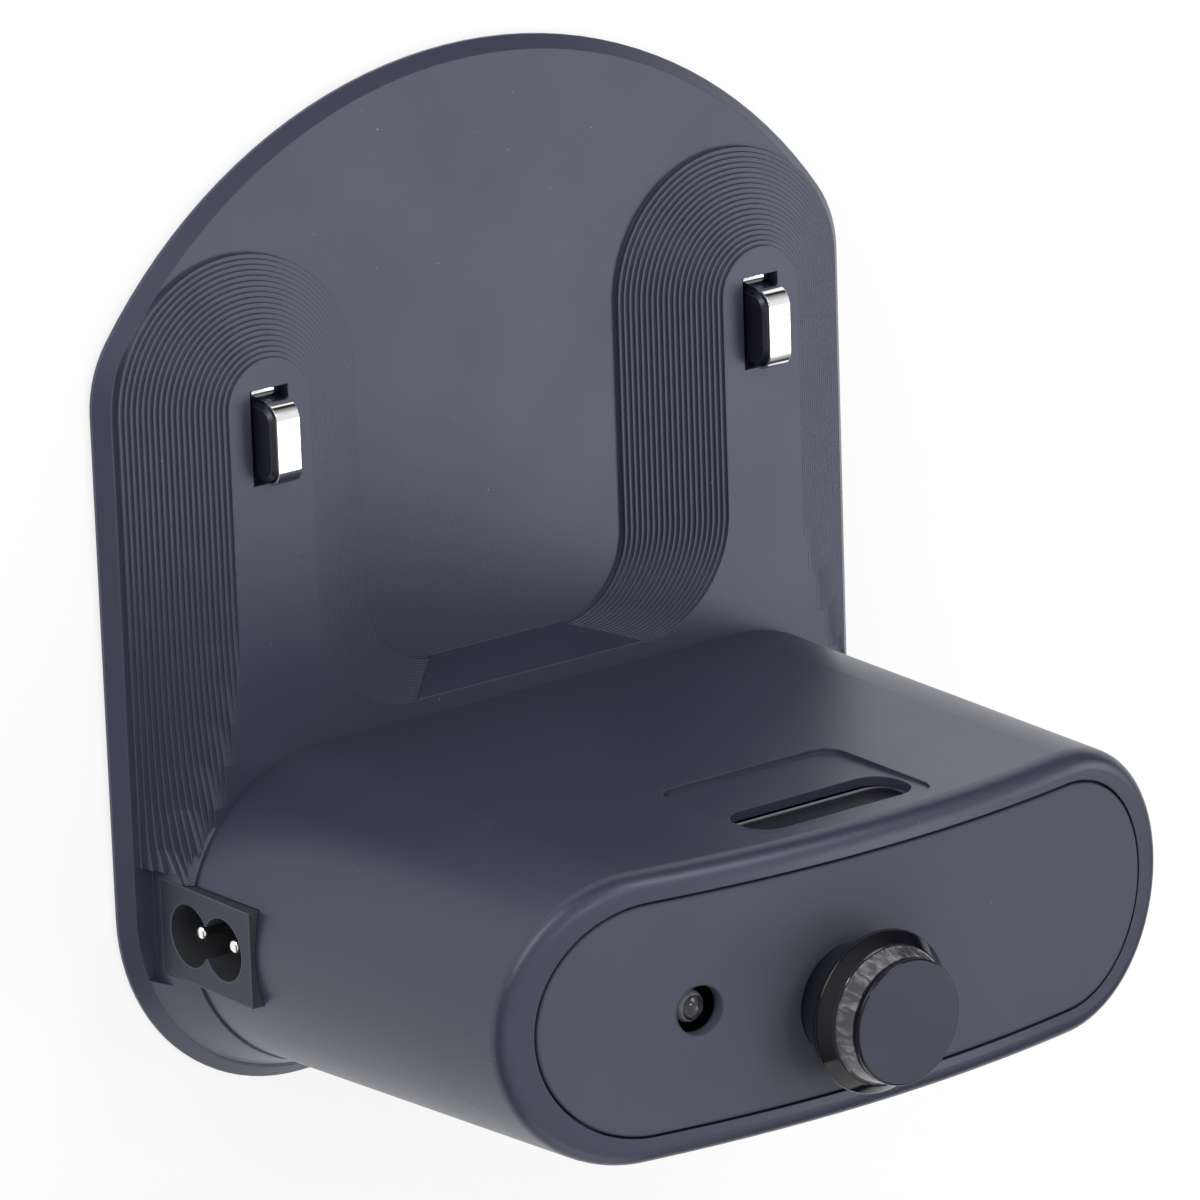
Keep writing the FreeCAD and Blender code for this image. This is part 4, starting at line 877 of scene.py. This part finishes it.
class DOCK_OT_supply(DockOperator, Operator):
    """Supply board with its components, the lamp board, the wires and the ballast"""
    bl_idname = "dock.supply"
    bl_label = "Supply"

    def execute(self, context):
        moulded("board_green", (0.02, 0.12, 0.05), rough=(0.3, 0.42), grain=0.003, depth=0.00002,
                contrast=0.25)
        moulded("ferrite", (0.05, 0.05, 0.055), rough=(0.55, 0.75), grain=0.0008, depth=0.00004,
                edge=0.0003, contrast=0.15)
        moulded("winding_tape", (0.68, 0.46, 0.04), rough=(0.25, 0.35), grain=0.004, depth=0.00004,
                edge=0.0003, contrast=0.08)
        moulded("sleeve", (0.012, 0.02, 0.05), rough=(0.2, 0.3), grain=0.006, depth=0.00002, edge=0.0004)
        moulded("film_box", (0.62, 0.42, 0.06), rough=(0.25, 0.35), grain=0.002, edge=0.0004, contrast=0.08)
        moulded("fuse_body", (0.24, 0.07, 0.025), rough=(0.3, 0.4), grain=0.002, edge=0.0003, contrast=0.1)
        moulded("epoxy", (0.02, 0.02, 0.022), rough=(0.45, 0.6), grain=0.0005, depth=0.00002)
        plated("sink_metal", (0.72, 0.73, 0.75), rough=(0.25, 0.4))
        plated("enamel", (0.55, 0.2, 0.06), rough=(0.2, 0.3))
        moulded("insulation", (0.3, 0.015, 0.015), rough=(0.4, 0.5), grain=0.002, edge=0.0001, contrast=0.1)
        moulded("mains_insulation", (0.6, 0.6, 0.6), rough=(0.4, 0.5), grain=0.002, edge=0.0001,
                contrast=0.08)
        plated("ballast_steel", (0.3, 0.3, 0.31), rough=(0.35, 0.55))
        dress("power_board", "emitter_board", "transformer_core", "transformer_winding", "mains_capacitor",
              "output_capacitor_1", "output_capacitor_2", "filter_capacitor", "fuse_link", "bridge_rectifier",
              "power_switch", "heat_sink", "input_choke", "mains_header", "output_header", "signal_header",
              "signal_lead", "contact_lead_left", "contact_lead_right", "mains_lead_upper",
              "mains_lead_lower", "ballast_plate")
        return {"FINISHED"}


class DOCK_OT_stage(DockOperator, Operator):
    """Pale floor, white surroundings, soft lights and the camera"""
    bl_idname = "dock.stage"
    bl_label = "Stage"

    def execute(self, context):
        context.scene.view_settings.view_transform = "Standard"
        self.floor()
        self.surroundings(context.scene)
        for name in ("key", "front", "far", "line", "rear"):
            self.soft_light(name)
        self.soft_light("rim", stage().rim_flat)
        self.camera(context.scene)
        return {"FINISHED"}

    def seen_plain(self, wiring, in_mirrors):
        """One for what the camera sees, directly or through glass, and a share of it for reflections."""
        ray = wiring.add("ShaderNodeLightPath").outputs
        direct = wiring.math("MAXIMUM", ray["Is Camera Ray"], ray["Is Transmission Ray"])
        return wiring.math("MAXIMUM", direct, wiring.math("MULTIPLY", ray["Is Glossy Ray"], in_mirrors))

    def floor(self):
        """White floor that keeps the dock's shadow, fades far out in reflections and is open from below."""
        mesh = bmesh.new()
        bmesh.ops.create_grid(mesh, x_segments=1, y_segments=1, size=FLOOR_HALF)
        data = bpy.data.meshes.new("floor")
        mesh.to_mesh(data)
        mesh.free()
        made = bpy.data.materials.new("pale_floor")
        made.use_nodes = True
        made.node_tree.nodes.clear()
        wiring = Wiring(made.node_tree)
        glow = wiring.add("ShaderNodeEmission", {"Color": opaque(WHITE), "Strength": 1.0})
        place = wiring.add("ShaderNodeTexCoord").outputs["Object"]
        out = wiring.add("ShaderNodeVectorMath", {0: place}, operation="LENGTH").outputs["Value"]
        near = wiring.remap(out, (stage().floor_near, stage().floor_far), (1.0, 0.0))
        mirrored = wiring.add("ShaderNodeLightPath").outputs["Is Glossy Ray"]
        faded = wiring.math("MULTIPLY", mirrored, wiring.math("SUBTRACT", 1.0, near))
        shade = wiring.blend(faded, opaque(WHITE), opaque(BLACK))
        lit = wiring.add("ShaderNodeBsdfDiffuse", {"Color": shade})
        share = wiring.math("MULTIPLY", self.seen_plain(wiring, near), stage().floor_share)
        mixed = wiring.add("ShaderNodeMixShader", {0: share, 1: lit.outputs[0], 2: glow.outputs[0]})
        below = wiring.add("ShaderNodeNewGeometry").outputs["Backfacing"]
        nothing = wiring.add("ShaderNodeBsdfTransparent")
        open_below = wiring.add("ShaderNodeMixShader", {0: below, 1: mixed.outputs[0], 2: nothing.outputs[0]})
        wiring.add("ShaderNodeOutputMaterial", {"Surface": open_below.outputs[0]})
        data.materials.append(made)
        floor = bpy.data.objects.new("floor", data)
        floor.location.z = -stage().floor_drop
        bpy.context.scene.collection.objects.link(floor)

    def surroundings(self, scene):
        """White to the camera; as light, bright overhead and dark near the horizon."""
        world = bpy.data.worlds.new("white_surroundings")
        world.use_nodes = True
        world.node_tree.nodes.clear()
        wiring = Wiring(world.node_tree)
        place = wiring.add("ShaderNodeTexCoord").outputs["Generated"]
        rise = wiring.add("ShaderNodeSeparateXYZ", {"Vector": place}).outputs["Z"]
        dome = wiring.remap(rise, DOME_RISE, (stage().ambient, stage().dome))
        lit = wiring.add("ShaderNodeBackground", {"Color": opaque(WHITE), "Strength": dome})
        seen = wiring.add("ShaderNodeBackground", {"Color": opaque(WHITE), "Strength": 1.0})
        mixed = wiring.add("ShaderNodeMixShader", {0: self.seen_plain(wiring, 0.0), 1: lit.outputs[0],
                                                   2: seen.outputs[0]})
        wiring.add("ShaderNodeOutputWorld", {"Surface": mixed.outputs[0]})
        scene.world = world

    def soft_light(self, name, flat=1.0):
        """A round or flattened lamp that points at the dock."""
        place = Vector(getattr(stage(), name + "_way")).normalized() * stage().light_reach
        data = bpy.data.lights.new("light_" + name, "AREA")
        data.shape = "ELLIPSE"
        data.size = getattr(stage(), name + "_size")
        data.size_y = data.size * flat
        data.energy = getattr(stage(), name + "_power")
        made = bpy.data.objects.new("light_" + name, data)
        made.location = place
        made.rotation_euler = (-place).to_track_quat("-Z", "Y").to_euler()
        made.visible_camera = False
        bpy.context.scene.collection.objects.link(made)

    def camera(self, scene):
        """The camera at the photograph's place."""
        data = bpy.data.cameras.new("camera")
        data.sensor_fit = "HORIZONTAL"
        data.sensor_width = FRAME_WIDTH
        data.lens = stage().camera_lens
        data.clip_start = CLIP_START
        right = Vector(stage().camera_right).normalized()
        up = -Vector(stage().camera_down).normalized()
        back = right.cross(up)
        turn = Matrix((right, back.cross(right), back)).transposed().to_4x4()
        made = bpy.data.objects.new("camera", data)
        made.matrix_world = Matrix.Translation(stage().camera_place) @ turn
        scene.collection.objects.link(made)
        scene.camera = made


OPERATORS = (DOCK_OT_shells, DOCK_OT_top_panel, DOCK_OT_beacon, DOCK_OT_lamps, DOCK_OT_contacts,
             DOCK_OT_inlet, DOCK_OT_underside, DOCK_OT_supply, DOCK_OT_stage)


class DOCK_PT_looks(Panel):
    """The steps that dress the dock, in their order"""
    bl_idname = "DOCK_PT_looks"
    bl_label = "Charging dock"
    bl_space_type = "VIEW_3D"
    bl_region_type = "UI"
    bl_category = "Dock"

    def draw(self, context):
        for step in OPERATORS:
            self.layout.operator(step.bl_idname)
        for values in (context.scene.dock_sizes, context.scene.dock_colours, context.scene.dock_stage):
            for name in values.__annotations__:
                self.layout.prop(values, name)


CLASSES = (DockSizes, DockColours, DockStage, *OPERATORS, DOCK_PT_looks)


def register():
    for entry in CLASSES:
        bpy.utils.register_class(entry)
    bpy.types.Scene.dock_sizes = PointerProperty(type=DockSizes)
    bpy.types.Scene.dock_colours = PointerProperty(type=DockColours)
    bpy.types.Scene.dock_stage = PointerProperty(type=DockStage)


def unregister():
    for name in ("dock_sizes", "dock_colours", "dock_stage"):
        delattr(bpy.types.Scene, name)
    for entry in reversed(CLASSES):
        bpy.utils.unregister_class(entry)


def main():
    register()
    bpy.ops.dock.shells()
    bpy.ops.dock.top_panel()
    bpy.ops.dock.beacon()
    bpy.ops.dock.lamps()
    bpy.ops.dock.contacts()
    bpy.ops.dock.inlet()
    bpy.ops.dock.underside()
    bpy.ops.dock.supply()
    bpy.ops.dock.stage()


if __name__ == "__main__":
    main()
